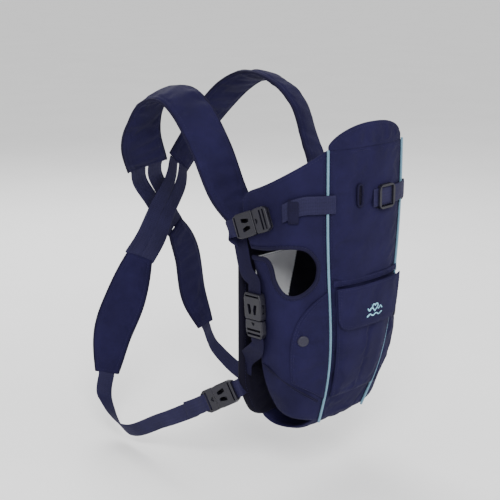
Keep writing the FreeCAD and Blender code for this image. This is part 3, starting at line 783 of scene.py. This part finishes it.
def make_head_support():
    def high(a):
        return FOLD_Z + 4.0 + 28.5 * (1 - np.abs(a) ** 2.4) ** 0.7

    def half_width(z):
        return seam_half(z) - 1.0 + 1.5 * np.clip((z - 186) / 20, 0, 1)

    mid, normal, _, _ = front_grid(half_width, FOLD_Z - 1.6, high, 61, 15, WALL / 2)
    distance = edge_distance(mid)
    mid = raised(mid, normal, cloth_lumps(mid, 30, 14) * 0.7 * fade(distance, 10))
    half, pin = seamed(distance, 3.0, seams=(4.5,))
    sewing = Batch()
    topstitch(sewing, mid, normal, half, "b1 a0 a1", 4.5, BOTH)
    obj = fabric_piece("head_support_fabric", mid, normal, half, pin, cap=2.2, body=None,
                       replaces=("head_flap",))
    seam = finish_piece(sewing.make("head_support_stitches"), thread, None, slot="webbing", levels=0)
    low, high = (FOLD_Z - 0.5) * MM, (FOLD_Z + 7) * MM
    for o in (obj, seam):
        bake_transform(o)


def make_piping():
    batch = Batch()
    z = np.linspace(POUCH_BOTTOM_Z - 1, FOLD_Z + 1, 190)
    for sign in (-1, 1):
        p, _ = wall(s_of_x(sign * seam_half(z), z), z, WALL + 1.0)
        batch.add(*tube(even(p, 2.5), 1.9, 10))
    finish_piece(batch.make("piping_cord_fabric"), piping_fabric, replaces=("piping",), slot="piping_cord")


def make_seam_tapes():
    """Seam allowance under each piped seam, between the edges of the two panels."""
    z, across = np.meshgrid(np.linspace(POUCH_BOTTOM_Z + 2, FOLD_Z - 1.5, 110), np.linspace(-5.0, 5.0, 7),
                            indexing="ij")
    mid, normal = wall(s_of_x(across - seam_half(z), z), z, WALL / 2)
    for side, sign in SIDES.items():
        obj, _ = pillow("piped_seam_tape_" + side, *mirrored(mid, normal, sign), np.full(z.shape, 0.7))
        finish_piece(obj, tape_fabric, slot="binding_tape")


def pocket_half(z):
    return seam_half(z) - 7


def near_tape(x, z, reach):
    """Up to reach over the hook-and-loop tapes, and falling away from them."""
    return np.clip(reach - np.maximum(np.abs(x) / 34, np.abs(z + 34) / 10), 0, 1)


def make_pocket():
    mid, normal, x, z = front_grid(pocket_half, -168.0, -6.0, 45, 60, WALL + 3.2)
    distance = edge_distance(mid)
    below_flap = np.clip((-58 - z) / 10, 0, 1)
    pleat = np.exp(-((x + 1.5) / 1.9) ** 2) * below_flap
    fold = np.exp(-((x + 5.5 + 0.02 * (z + 60)) / 4.0) ** 2) * below_flap
    belly = 3.2 * np.sin(np.pi * np.clip((-6 - z) / 162, 0, 1)) * np.clip(1 - np.abs(x) / 66, 0, 1) ** 0.6
    wave = cloth_lumps(mid, 34, 17, along=0.5) * 0.7
    height = (belly * 0.5 + fold * 1.4 + wave) * (1 - near_tape(x, z, 2.2)) * fade(distance, 12)
    mid = raised(mid, normal, height - pleat * 1.9 * fade(distance, 5))
    half, pin = seamed(distance, 2.8, seams=(4.0,))
    pin = np.maximum(np.where(pleat > 0.6, 1.0, 0.0), np.maximum(pin, near_tape(x, z, 1.8)))
    topstitch(stitches, mid, normal, half, SIDES_AND_START, 4.0)
    fabric_piece("pocket_fabric", mid, normal, half, pin, cap=1.6, slack=0.04,
                 replaces=("pocket_body",), padded=0.4)
    mid, normal, _, _ = front_grid(lambda z: pocket_half(z) + 2.5, -3.0, 6.5, 40, 6, WALL + 2.6)
    half, pin = seamed(edge_distance(mid), 1.5, seams=())
    for inset in (1.6, 7.6):
        topstitch(stitches, mid, normal, half, "b1", inset)
    fabric_piece("pocket_welt", mid, normal, half, pin, cap=0.5, padded=0.3)


def make_hook_and_loop():
    for name, offset, body, node in (("pocket_loop_tape", 7.2, "carrier", "pocket_loop_patch"),
                                     ("pocket_hook_tape", 8.5, "pocket_cover", "pocket_hook_patch")):
        mid, normal, _, _ = front_grid(lambda z: 0 * z + 34.0, -44.0, -24.0, 40, 14, WALL + offset)
        obj, _ = pillow(name, mid, normal, 0.55 * np.clip(0.5 + edge_distance(mid) / 1.5, 0, 1))
        finish_piece(obj, hook_fabric, body, (node,), "hook_and_loop")


def make_flap():
    width, corner, sewing = 57.5, 15.0, Batch()

    def low(a):
        k = np.clip(np.abs(a) * width - (width - corner), 0, corner)
        return -64.0 + corner - np.sqrt(np.maximum(corner**2 - k**2, 0.2))

    mid, normal, _, z = front_grid(lambda z: pocket_half(z) + 0.5, low, -3.0, 45, 24, WALL + 10.2)
    distance = edge_distance(mid)
    sag = cloth_lumps(mid, 40, 31, along=0.6) * 0.5 * fade(distance, 10)
    lip = 0.8 * np.clip((-50 - z) / 14, 0, 1)
    mid = raised(mid, normal, sag + lip)
    half, pin = seamed(distance, 1.5, edge=0.7, reach=5, seams=(3.0,), depth=0.3)
    for edges, inset in ((SIDES_AND_START, 3.0), (SIDES_AND_START, 6.0), ("b1", 3.0)):
        topstitch(sewing, mid, normal, half, edges, inset)
    fabric_piece("pocket_flap_fabric", mid, normal, half, pin, cap=0.5, body="pocket_cover",
                 replaces=("pocket_flap",), padded=0.3)
    finish_piece(sewing.make("pocket_flap_stitches"), thread, "pocket_cover", slot="webbing", levels=0)


def make_leg_tab(side, sign):
    a, b = grid(np.linspace(0, 1, 26), np.linspace(0, 1, 50))
    z = (-137.0 + 128.0 * b) * (1 - a) + (-170.0 + 161.0 * b) * a
    zr = z.ravel()
    seam = (1 - s_of_x(seam_half(zr), zr)).reshape(z.shape)
    rear = 0.142 + 0.15 * b**4
    s = rear + (seam - 0.006 - rear) * a
    mid, normal = mirrored(*wall(s, z, WALL + 1.3), sign)
    distance = edge_distance(mid)
    from_snap = ((s - SNAP_S) * 330, z - SNAP_Z)  # in millimetres, along the wall and up
    snap_away = np.hypot(*from_snap)
    gather = np.sin(np.arctan2(from_snap[1], from_snap[0]) * 5 + sign) * np.exp(-snap_away / 22) * 0.9
    wave = cloth_lumps(mid, 30, 50 + sign) * 0.7
    height = (wave + gather + 1.2 * np.clip(snap_away / 26, 0, 1)) * fade(distance, 9)
    mid = raised(mid, normal, height)
    half, pin = seamed(distance, 2.0, edge=0.6, reach=7, seams=(2.6,), depth=0.3)
    pin = np.maximum(pin, np.where(snap_away < 9, 1.0, 0.0))
    for edges, inset in (("a0 b0", 2.6), ("a0", 6.0)):
        topstitch(stitches, mid, normal, half, edges, inset)
    fabric_piece("leg_tab_fabric_" + side, mid, normal, half, pin, cap=1.5, slack=0.04,
                 replaces=("leg_tabs",), padded=0.4)


def lathe(profile, place, axis, sides=40):
    """Turned shape: (radius, height) profile about axis at place."""
    axis = unit(np.asarray(axis, float))
    side = unit(np.cross(axis, (0, 0, 1)))
    up = np.cross(side, axis)
    a = np.linspace(0, 2 * math.pi, sides, endpoint=False)
    ring = side[None] * np.cos(a)[:, None] + up[None] * np.sin(a)[:, None]
    verts = np.concatenate([place + axis * h + ring * r for r, h in profile])
    return verts, ring_faces(len(profile), sides), np.tile(verts[:, :1], (1, 2))


def make_snaps():
    batch = Batch()
    p, n = wall(SNAP_S, SNAP_Z, WALL + 3.2)
    profile = [(7.4, -1.0), (7.9, 0.2), (7.9, 1.2), (7.4, 2.0), (6.4, 2.5), (5.6, 2.45), (5.1, 2.0),
               (4.2, 1.9), (2.6, 2.15), (0.4, 2.25)]
    for sign in SIDES.values():
        batch.add(*lathe(profile, *mirrored(p, n, sign)))
    finish_piece(batch.make("leg_snap_caps"), snap_plastic, replaces=("leg_snaps",), slot="snap_plastic")


# ---------------------------------------------------------------- harness and seat
def facing_front(mid):
    return np.broadcast_to(np.array([0.0, -1.0, 0.0]), mid.shape).copy()


def make_harness():
    low_z, high_z, shoulder_z = -212.0, 100.0, 54.0
    side_w, neck_w, middle_y, full = 123.0, 46.0, -6.0, 7.4
    z = low_z + (high_z - low_z) * np.linspace(0, 1, 100)
    step = np.clip((z - shoulder_z) / 12, 0, 1)
    half_w = np.where(z > shoulder_z, side_w + (neck_w - side_w) * (step * step * (3 - 2 * step)), side_w)
    low = np.clip((-150 - z) / 62, 0, 1)
    half_w = half_w - 30 * (0.35 * low + 0.65 * low**2)
    for end, r in ((high_z, 16.0), (low_z, 15.0)):
        d = np.clip(1 - np.abs(z - end) / r, 0, 1)
        half_w = half_w - r * (1 - np.sqrt(1 - d**2))
    x = np.linspace(-1, 1, 67)[:, None] * half_w[None]
    mid = np.stack([x, np.full(x.shape, middle_y), np.broadcast_to(z, x.shape)], -1)
    normal = facing_front(mid)
    distance = np.minimum(edge_distance(mid), np.where(np.abs(x) > 44, np.abs(z[None] - 62) + 1.5, 99))
    channel_x = 62
    channels = np.exp(-((np.abs(x) - channel_x) / 2.2) ** 2) * (z < 48)
    half, pin = seamed(distance, full, edge=2.4, reach=14, seams=(7.0,), depth=0.18)
    half = half * (1 - 0.22 * channels)
    pin = np.maximum(pin, np.where(channels > 0.7, 1.0, 0.0))
    topstitch(stitches, mid, normal, half, SIDES_AND_START, 7.0, BOTH)
    rows = np.linspace(-196, 44, 90)
    for place in (-channel_x, channel_x):
        for face in BOTH:
            p = np.stack([np.full(90, float(place)), np.full(90, middle_y - face * full * 0.78), rows], 1)
            stitch_line(stitches, p, np.tile([0.0, -1.0 * face, 0.0], (90, 1)))
    # The harness is in the lining fabric, whose colour is painted darker for the shade the harness sits in.
    fabric_piece("harness_fabric", mid, normal, half, pin, lining_painted_shade_fabric, cap=1.2, slot="dark_lining",
                 padded=0.6, replaces=("harness_cover", "harness_foam"))


def make_painted_backdrop_shade():
    # A grey sheet in front of the harness, painted as the shaded grey backdrop seen through both arm holes.
    u, v = (k[..., None] for k in grid(np.linspace(0, 1, 34), np.linspace(0, 1, 30)))
    a, b, c, d = (np.array(k, float) for k in ((-100, -60), (-34, -52), (-100, 27), (-12, 27)))
    flat = a * ((1 - u) * (1 - v)) + b * (u * (1 - v)) + c * ((1 - u) * v) + d * (u * v)
    wave = lumps(flat[..., 0], flat[..., 1], 40, 77) * 0.5
    mid = np.stack([flat[..., 0], -15.6 + wave, flat[..., 1]], -1)
    normal = facing_front(mid)
    half, _ = seamed(edge_distance(mid), 0.9, edge=0.5, reach=3, seams=())
    topstitch(stitches, mid, normal, half, ALL_EDGES, 2.0)
    obj, _ = pillow("painted_backdrop_shade_patch", mid, normal, half)
    finish_piece(obj, painted_backdrop_shade_fabric, replaces=("lining_patch",), slot="grey_lining", padded=0.2)


def make_seat():
    line = [(0, -7, -207), (0, -10, -219), (0, -21, -228), (0, -42, -229), (0, -62, -223), (0, -80, -209),
            (0, -86, -200)]
    mid, normal = ribbon_frame(line, [(1, 0, 0)] * 2, [158, 156, 136, 116, 104, 98, 94], 46, 41)
    distance = edge_distance(mid)
    wave = cloth_lumps(mid, 40, 61, across=1.6) * 0.9
    mid = raised(mid, normal, wave * fade(distance, 12))
    half, pin = seamed(distance, 2.6, seams=(5.0,))
    topstitch(stitches, mid, normal, half, "a0 a1", 5.0, BOTH)
    fabric_piece("seat_strip_fabric", mid, normal, half, pin, cap=2.0, replaces=("seat_strip",))


# ---------------------------------------------------------------- straps
# Each strap's points, its width's directions and, where they vary, its widths.
SHOULDERS = {
    "right": (
        [(-98, -6, 67), (-103, 32, 106), (-101, 70, 169), (-97, 112, 217), (-95, 150, 237), (-95, 188, 229),
         (-92, 217, 196), (-80, 240, 158), (-45, 266, 112)],
        [(-0.95, 0.1, 0), (-0.91, 0.4, 0.1), (-0.91, 0.35, -0.1), (-0.89, 0, -0.45), (-0.75, 0.5, -0.4),
         (-0.7, 0.59, -0.4)],
        [54, 58, 60, 62, 64, 64, 62],
    ),
    "left": (
        [(98, -6, 67), (102, 36, 108), (102, 62, 160), (100, 84, 212), (96, 124, 244), (95, 170, 249),
         (95, 214, 230), (92, 257, 192), (78, 282, 152), (40, 288, 104)],
        [(0.95, 0.1, 0), (0.91, 0.4, 0.1), (0.91, 0.35, -0.1), (0.89, 0, -0.45), (0.9, 0.2, -0.4),
         (0.88, 0.2, -0.42)],
        [54, 58, 60, 62, 64, 64, 62],
    ),
}
LOWER_PADS = {
    "right": ([(-50, 283, -33), (-78, 286, -95), (-104, 290, -150), (-120, 288, -212)],
              [(-0.69, 0.65, 0.3), (-0.69, 0.7, 0.1), (-0.69, 0.7, 0.05)], [38, 74, 66, 34]),
    "left": ([(50, 308, -5), (84, 316, -60), (94, 312, -130), (104, 293, -184)],
             [(0.9, 0.2, 0.3), (0.95, 0.1, 0.2), (0.95, 0.1, 0.2)], [38, 74, 66, 34]),
}
WAISTS = {
    "right": ([(-121, 288, -214), (-129, 283, -250), (-140, 222, -283), (-137, 140, -246), (-132, 84, -216)],
              [(-0.7, 0.7, 0), (-0.6, 0.4, 0.6), (-0.3, 0.1, 0.9), (0.1, 0.5, 0.85)]),
    "left": ([(105, 293, -186), (120, 283, -228), (138, 226, -268), (137, 140, -246), (132, 84, -216)],
             [(0.9, 0.2, 0), (0.6, 0.4, 0.6), (0.3, 0.1, 0.9), (-0.1, 0.5, 0.85)]),
}
# Middle of each right-hand buckle, the way its webbing runs and the way it faces.
BUCKLES = {
    "top": ((-135, -43, 84), (0, -61, 24), (-1, 0, 0)),
    "side": ((-129, -42, -46), (0.02, -0.05, -1), (-1, 0.1, 0)),
    "waist": ((-129, 27, -181), (-9, 67, -40), (-1, -0.1, 0)),
}


def make_straps():
    sewing, binding = Batch(), Batch()
    for kind, table, thickness, n, seam, crease, seed in (("shoulder_pad", SHOULDERS, 9.0, 132, 7.0, 0.9, 70),
                                                          ("lower_pad", LOWER_PADS, 8.0, 62, 6.0, 0.7, 80)):
        for k, (side, (line, across, widths)) in enumerate(table.items()):
            if kind == "shoulder_pad":  # its front end is sewn in between the harness's faces
                line, across = [(line[0][0], -6.5, 53)] + line, [across[0]] + across
            strap(kind + "_fabric_" + side, line, across, widths, thickness, seam, crease, sewing, seed + k,
                  n, (kind + "_" + side,))
            edges = ribbon_frame(line, across, widths, n, 3)[0]
            for row in (0, -1):
                binding.add(*tube(even(edges[row], 3.0), 2.0, 10))
    finish_piece(sewing.make("strap_stitches"), thread, slot="webbing", levels=0)
    finish_piece(binding.make("strap_edge_binding"), tape_fabric, slot="binding_tape")


def make_back_straps():
    """Pairs of webbing from each shoulder pad to the other side's lower pad."""
    for side, other, lift in (("right", "left", 9.0), ("left", "right", -8.0)):
        shoulder, pad = SHOULDERS[side], LOWER_PADS[other]
        start, edge = np.array(shoulder[0][-1], float), unit(np.array(shoulder[1][-1], float))
        finish, low = np.array(pad[0][0], float), unit(np.array(pad[1][0], float))
        run = unit(finish - start)
        lines = []
        drape = ((0.22, 1.5), (0.5, 1), (0.78, 1))  # (part of the way, part of the lift)
        for lane in (-1, 1):
            a = start - run * 4 + edge * (lane * 14.5)
            b = finish + run * 4 - low * (lane * 12.2)
            middle = [a * (1 - f) + b * f + np.array([0, lift * k, 0]) for f, k in drape]
            lines.append(([a] + middle + [b], [edge, unit(edge - low), -low]))
        webbing("back_webbing_" + side, lines, width=24.5, ripple=0.5, replaces=("back_straps_" + side,))


def buckle_axes(place, sign):
    centre, axis, normal = (np.array(k, float) * np.array([sign, 1, 1]) for k in BUCKLES[place])
    x = unit(axis)
    z = unit(normal - x * np.dot(normal, x))
    return centre, x, np.cross(z, x), z


def facing(width, other):
    other = np.asarray(other, float)
    return other if np.dot(width, other) > 0 else -other


def make_webbings():
    anchors, uppers, lowers, tops = [], [], [], []
    for side, sign in SIDES.items():
        line, across = WAISTS[side]
        c, x, y, z = buckle_axes("waist", sign)
        turned = facing(across[-1], y)
        main = line + [c + x * 47.5, c + x * 32, c + x * 22]
        # a sewn-back tail along the outside
        tail = [c + x * 21.5 + z * 2.2, c + x * 28 + z * 5.6, c + x * 44 + z * 3.6,
                c + x * 70 + z * 2.6 + np.array([0, 0, 1.5])]
        first, second = np.array(line[0], float), np.array(line[1], float)
        start = first + unit(first - second) * 6
        webbing("waist_webbing_fabric_" + side,
                [([start] + main, [across[0]] + list(across) + [turned] * 2), (tail, [turned] * 2)],
                n=110, ripple=0.5, replaces=("waist_webbing_" + side,))
        anchors.append(([c - x * 27, c - x * 39, np.array((-sign * 114.0, -7, -158))],
                        [y, y, facing(y, (0, 0.3, 1))]))
        c, x, y, z = buckle_axes("side", sign)
        flat = facing(y, (0, -1, 0))
        for end, lines, bend, edge in ((-1, uppers, (-sign * 129.0, -24, 16), (-sign * 122.0, -6, 56)),
                                       (1, lowers, (-sign * 117.0, -14, -118), (-sign * 114.0, -8, -140))):
            points = [c + x * 24 * end, c + x * 47 * end, np.array(bend), np.array(edge)]
            lines.append((points, [y, y, flat, flat]))
        c, x, y, z = buckle_axes("top", sign)
        tops.append(([c - x * 27, c - x * 49, np.array((-sign * 116.0, -3, 50))], [y, y]))
    webbing("waist_anchor_webbing", anchors, replaces=("waist_anchors",))
    webbing("side_strap_webbing", uppers, tape_fabric, replaces=("side_straps",))
    webbing("side_anchor_webbing", lowers, tape_fabric, replaces=("side_anchors",))
    webbing("top_strap_webbing", tops, replaces=("top_straps",))


def make_chest_band(side, sign, end_x, n):
    """Webbing from the pouch's side to its front, rising from the keeper that holds its rear end."""
    a, b = grid(np.linspace(0, 1, n), np.linspace(0, 1, 9))
    s = BAND_S + (float(s_of_x(end_x, BAND_Z)) - BAND_S) * a
    rise = 1 - (1 - np.minimum(a / 0.5, 1)) ** 2
    z = BAND_REAR_Z + (BAND_Z - BAND_REAR_Z) * rise + WEB * (b - 0.5)
    mid, normal = wall(s, z, WALL + 3.5 + WEB_T / 2)
    half = band_thickness(mid).swapaxes(0, 1)
    mid, normal = mirrored(mid.swapaxes(0, 1), normal.swapaxes(0, 1), sign)
    mid = raised(mid, normal, cloth_lumps(mid, 30, 90 + sign, across=0.3) * 0.2)
    obj, _ = pillow("chest_band_webbing_" + side, mid, normal, half)
    finish_piece(obj, web_fabric, replaces=("chest_band_" + side,), slot="webbing")
    for edge in ("b0", "b1"):
        for inset in (2.5, 5.0):
            stitch_line(stitches, *inset_line(mid, normal, half, edge, inset), length=2.2, gap=0.7)


def make_band_keeper(side, sign):
    middle_z, length = BAND_REAR_Z + 3, WEB + 8
    s, z = np.meshgrid(np.linspace(BAND_S + 0.02, BAND_S + 0.055, 10),
                       middle_z + length * np.linspace(-0.5, 0.5, 22), indexing="ij")
    over = np.clip(1 - (np.abs(z - middle_z) / (length / 2)) ** 6, 0, 1)
    mid, normal = mirrored(*wall(s, z, WALL + 1.6 + (WEB_T + 3.0) * over), sign)
    half, _ = seamed(edge_distance(mid), 1.2, edge=0.6, reach=3, seams=())
    obj, _ = pillow("band_keeper_" + side, mid, normal, half)
    finish_piece(obj, tape_fabric, replaces=("band_keepers",), slot="webbing")


def make_band_slot():
    """The chest webbing's slot in the front panel: its bound edge, and a near-black sheet inside it, painted
    shade of the slot.
    """
    t = np.linspace(0, 2 * math.pi, 60)
    x = SLOT_X + 4.2 * np.sign(np.cos(t)) * np.abs(np.cos(t)) ** 0.6
    z = SLOT_Z + 14.5 * np.sign(np.sin(t)) * np.abs(np.sin(t)) ** 0.45
    points, normals = wall(s_of_x(x, z), z, WALL + 2.0)
    trim = Batch()
    trim.add(*tube(points, 1.7, 8, 1.3, normals))
    finish_piece(trim.make("band_slot_edging"), tape_fabric, replaces=("band_slot_trim",),
                 slot="binding_tape")
    # A near-black sheet over the slot: painted shade inside it.
    a, b = grid(np.linspace(-1, 1, 7), np.linspace(-1, 1, 20))
    z = SLOT_Z + 13.5 * b
    obj, _ = pillow("band_slot_painted_shade", *wall(s_of_x(SLOT_X + 3.8 * a, z), z, WALL + 1.0), np.full(a.shape, 0.7))
    finish_piece(obj, lining_painted_shade_fabric, slot="dark_lining")


def make_emblem():
    """A small stitched heart over two short waves."""
    batch = Batch()
    t = np.linspace(0, 2 * math.pi, 90)
    across, up = 16 * np.sin(t) ** 3, 13 * np.cos(t) - 5 * np.cos(2 * t) - 2 * np.cos(3 * t) - np.cos(4 * t)
    curves = [np.stack([across, up], 1) * 0.36 + np.array([0, -38.5])]
    u = np.linspace(-1, 1, 60)
    for side in (-1, 1):
        curves.append(np.stack([side * 10.5 + 4.6 * u, -40.5 + 1.7 * np.sin(u * math.pi * 1.2 + side)], 1))
    u = np.linspace(-1, 1, 120)
    curves.append(np.stack([15.0 * u, -49.0 + 1.3 * np.sin(u * math.pi * 2.5)], 1))
    for curve in curves:
        line = even(curve, 0.5)
        along = unit(np.gradient(line, axis=0))
        out = np.stack([-along[:, 1], along[:, 0]], 1)
        for k in range(len(line)):
            x, z = np.stack([line[k] + out[k] * w for w in (-0.95, -0.5, 0, 0.5, 0.95)]).T
            p, n = wall(s_of_x(x, z), z, WALL + 12.6 + np.array([-0.9, 0.25, 0.4, 0.25, -0.9]))
            batch.add(*tube(p, 0.33, 5, 0.9, n))
    finish_piece(batch.make("emblem_stitching"), emblem_fabric, "pocket_cover", ("emblem_patch",),
                 "emblem_thread", levels=0)


make_front()
make_head_support()
for side, sign in SIDES.items():
    make_wing(side, sign)
make_wing_seams()
make_arm_bindings()
make_piping()
make_seam_tapes()
make_pocket()
make_hook_and_loop()
make_flap()
make_harness()
make_painted_backdrop_shade()
make_seat()
for side, sign in SIDES.items():
    make_leg_tab(side, sign)
make_snaps()
make_straps()
make_back_straps()
make_webbings()
for side, sign, end_x, n in (("right", 1, -68.0, 60), ("left", -1, 6.0, 110)):
    make_chest_band(side, sign, end_x, n)
    make_band_keeper(side, sign)
make_band_slot()
make_emblem()


# ---------------------------------------------------------------- scene
def look_of(node):
    """Material of a CAD node."""
    # The prongs take the darker copy of the buckle plastic: painted shade of their recess.
    if "prong" in node:
        return prong_painted_shade_plastic
    if "buckle" in node or node == "slider":
        return buckle_plastic
    return snap_plastic if node == "leg_snaps" else shell_fabric


for name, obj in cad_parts.items():
    obj.data.materials.clear()
    obj.data.materials.append(look_of(name))

finish_piece(stitches.make("topstitching"), thread, slot="webbing", levels=0)


def area_light(name, place, target, size, watts, color=(1, 1, 1)):
    data = bpy.data.lights.new(name, "AREA")
    data.energy, data.size, data.color = watts, size, color
    obj = bpy.data.objects.new(name, data)
    obj.location = place
    obj.rotation_euler = (Vector(target) - Vector(place)).to_track_quat("-Z", "Y").to_euler()
    bpy.context.scene.collection.objects.link(obj)


FLOOR_REACH, FLOOR_GAP = 2e4, 0.012
corners = [(x * FLOOR_REACH, y * FLOOR_REACH, 0) for x, y in ((-1, -1), (1, -1), (1, 1), (-1, 1))]
floor = new_object("floor", corners, [(0, 1, 2, 3)])
floor.location.z = cad_box[0][2] - FLOOR_GAP
pale = Look("pale_floor")
grain = pale.ramp(pale.noise(pale.coordinates(), 3.0), [(0.3, (0.90,) * 3), (0.7, (0.93,) * 3)])
floor.data.materials.append(pale.finish(Base_Color=grain, Roughness=0.9))

world = bpy.data.worlds.new("studio")
bpy.context.scene.world = world
world.use_nodes = True
world.node_tree.nodes["Background"].inputs[0].default_value = (1, 1, 1, 1)
world.node_tree.nodes["Background"].inputs[1].default_value = 1.0
middle = (0, 0.05, 0)
area_light("key", (-1.6, -1.5, 1.6), middle, 1.1, 70)
area_light("fill", (0.6, -2.2, 0.5), middle, 1.6, 16)
area_light("rim", (0.8, 1.6, 1.5), middle, 1.2, 40)

AZ, EL = math.radians(-46.6), math.radians(13.8)
back = Vector((math.sin(AZ) * math.cos(EL), -math.cos(AZ) * math.cos(EL), math.sin(EL)))
camera = bpy.data.objects.new("camera", bpy.data.cameras.new("camera"))
camera.data.lens = 86.4
camera.location = Vector((0, 0.09, 0)) + back * 1.8
camera.rotation_euler = (-back).to_track_quat("-Z", "Y").to_euler()
bpy.context.scene.collection.objects.link(camera)
bpy.context.scene.camera = camera
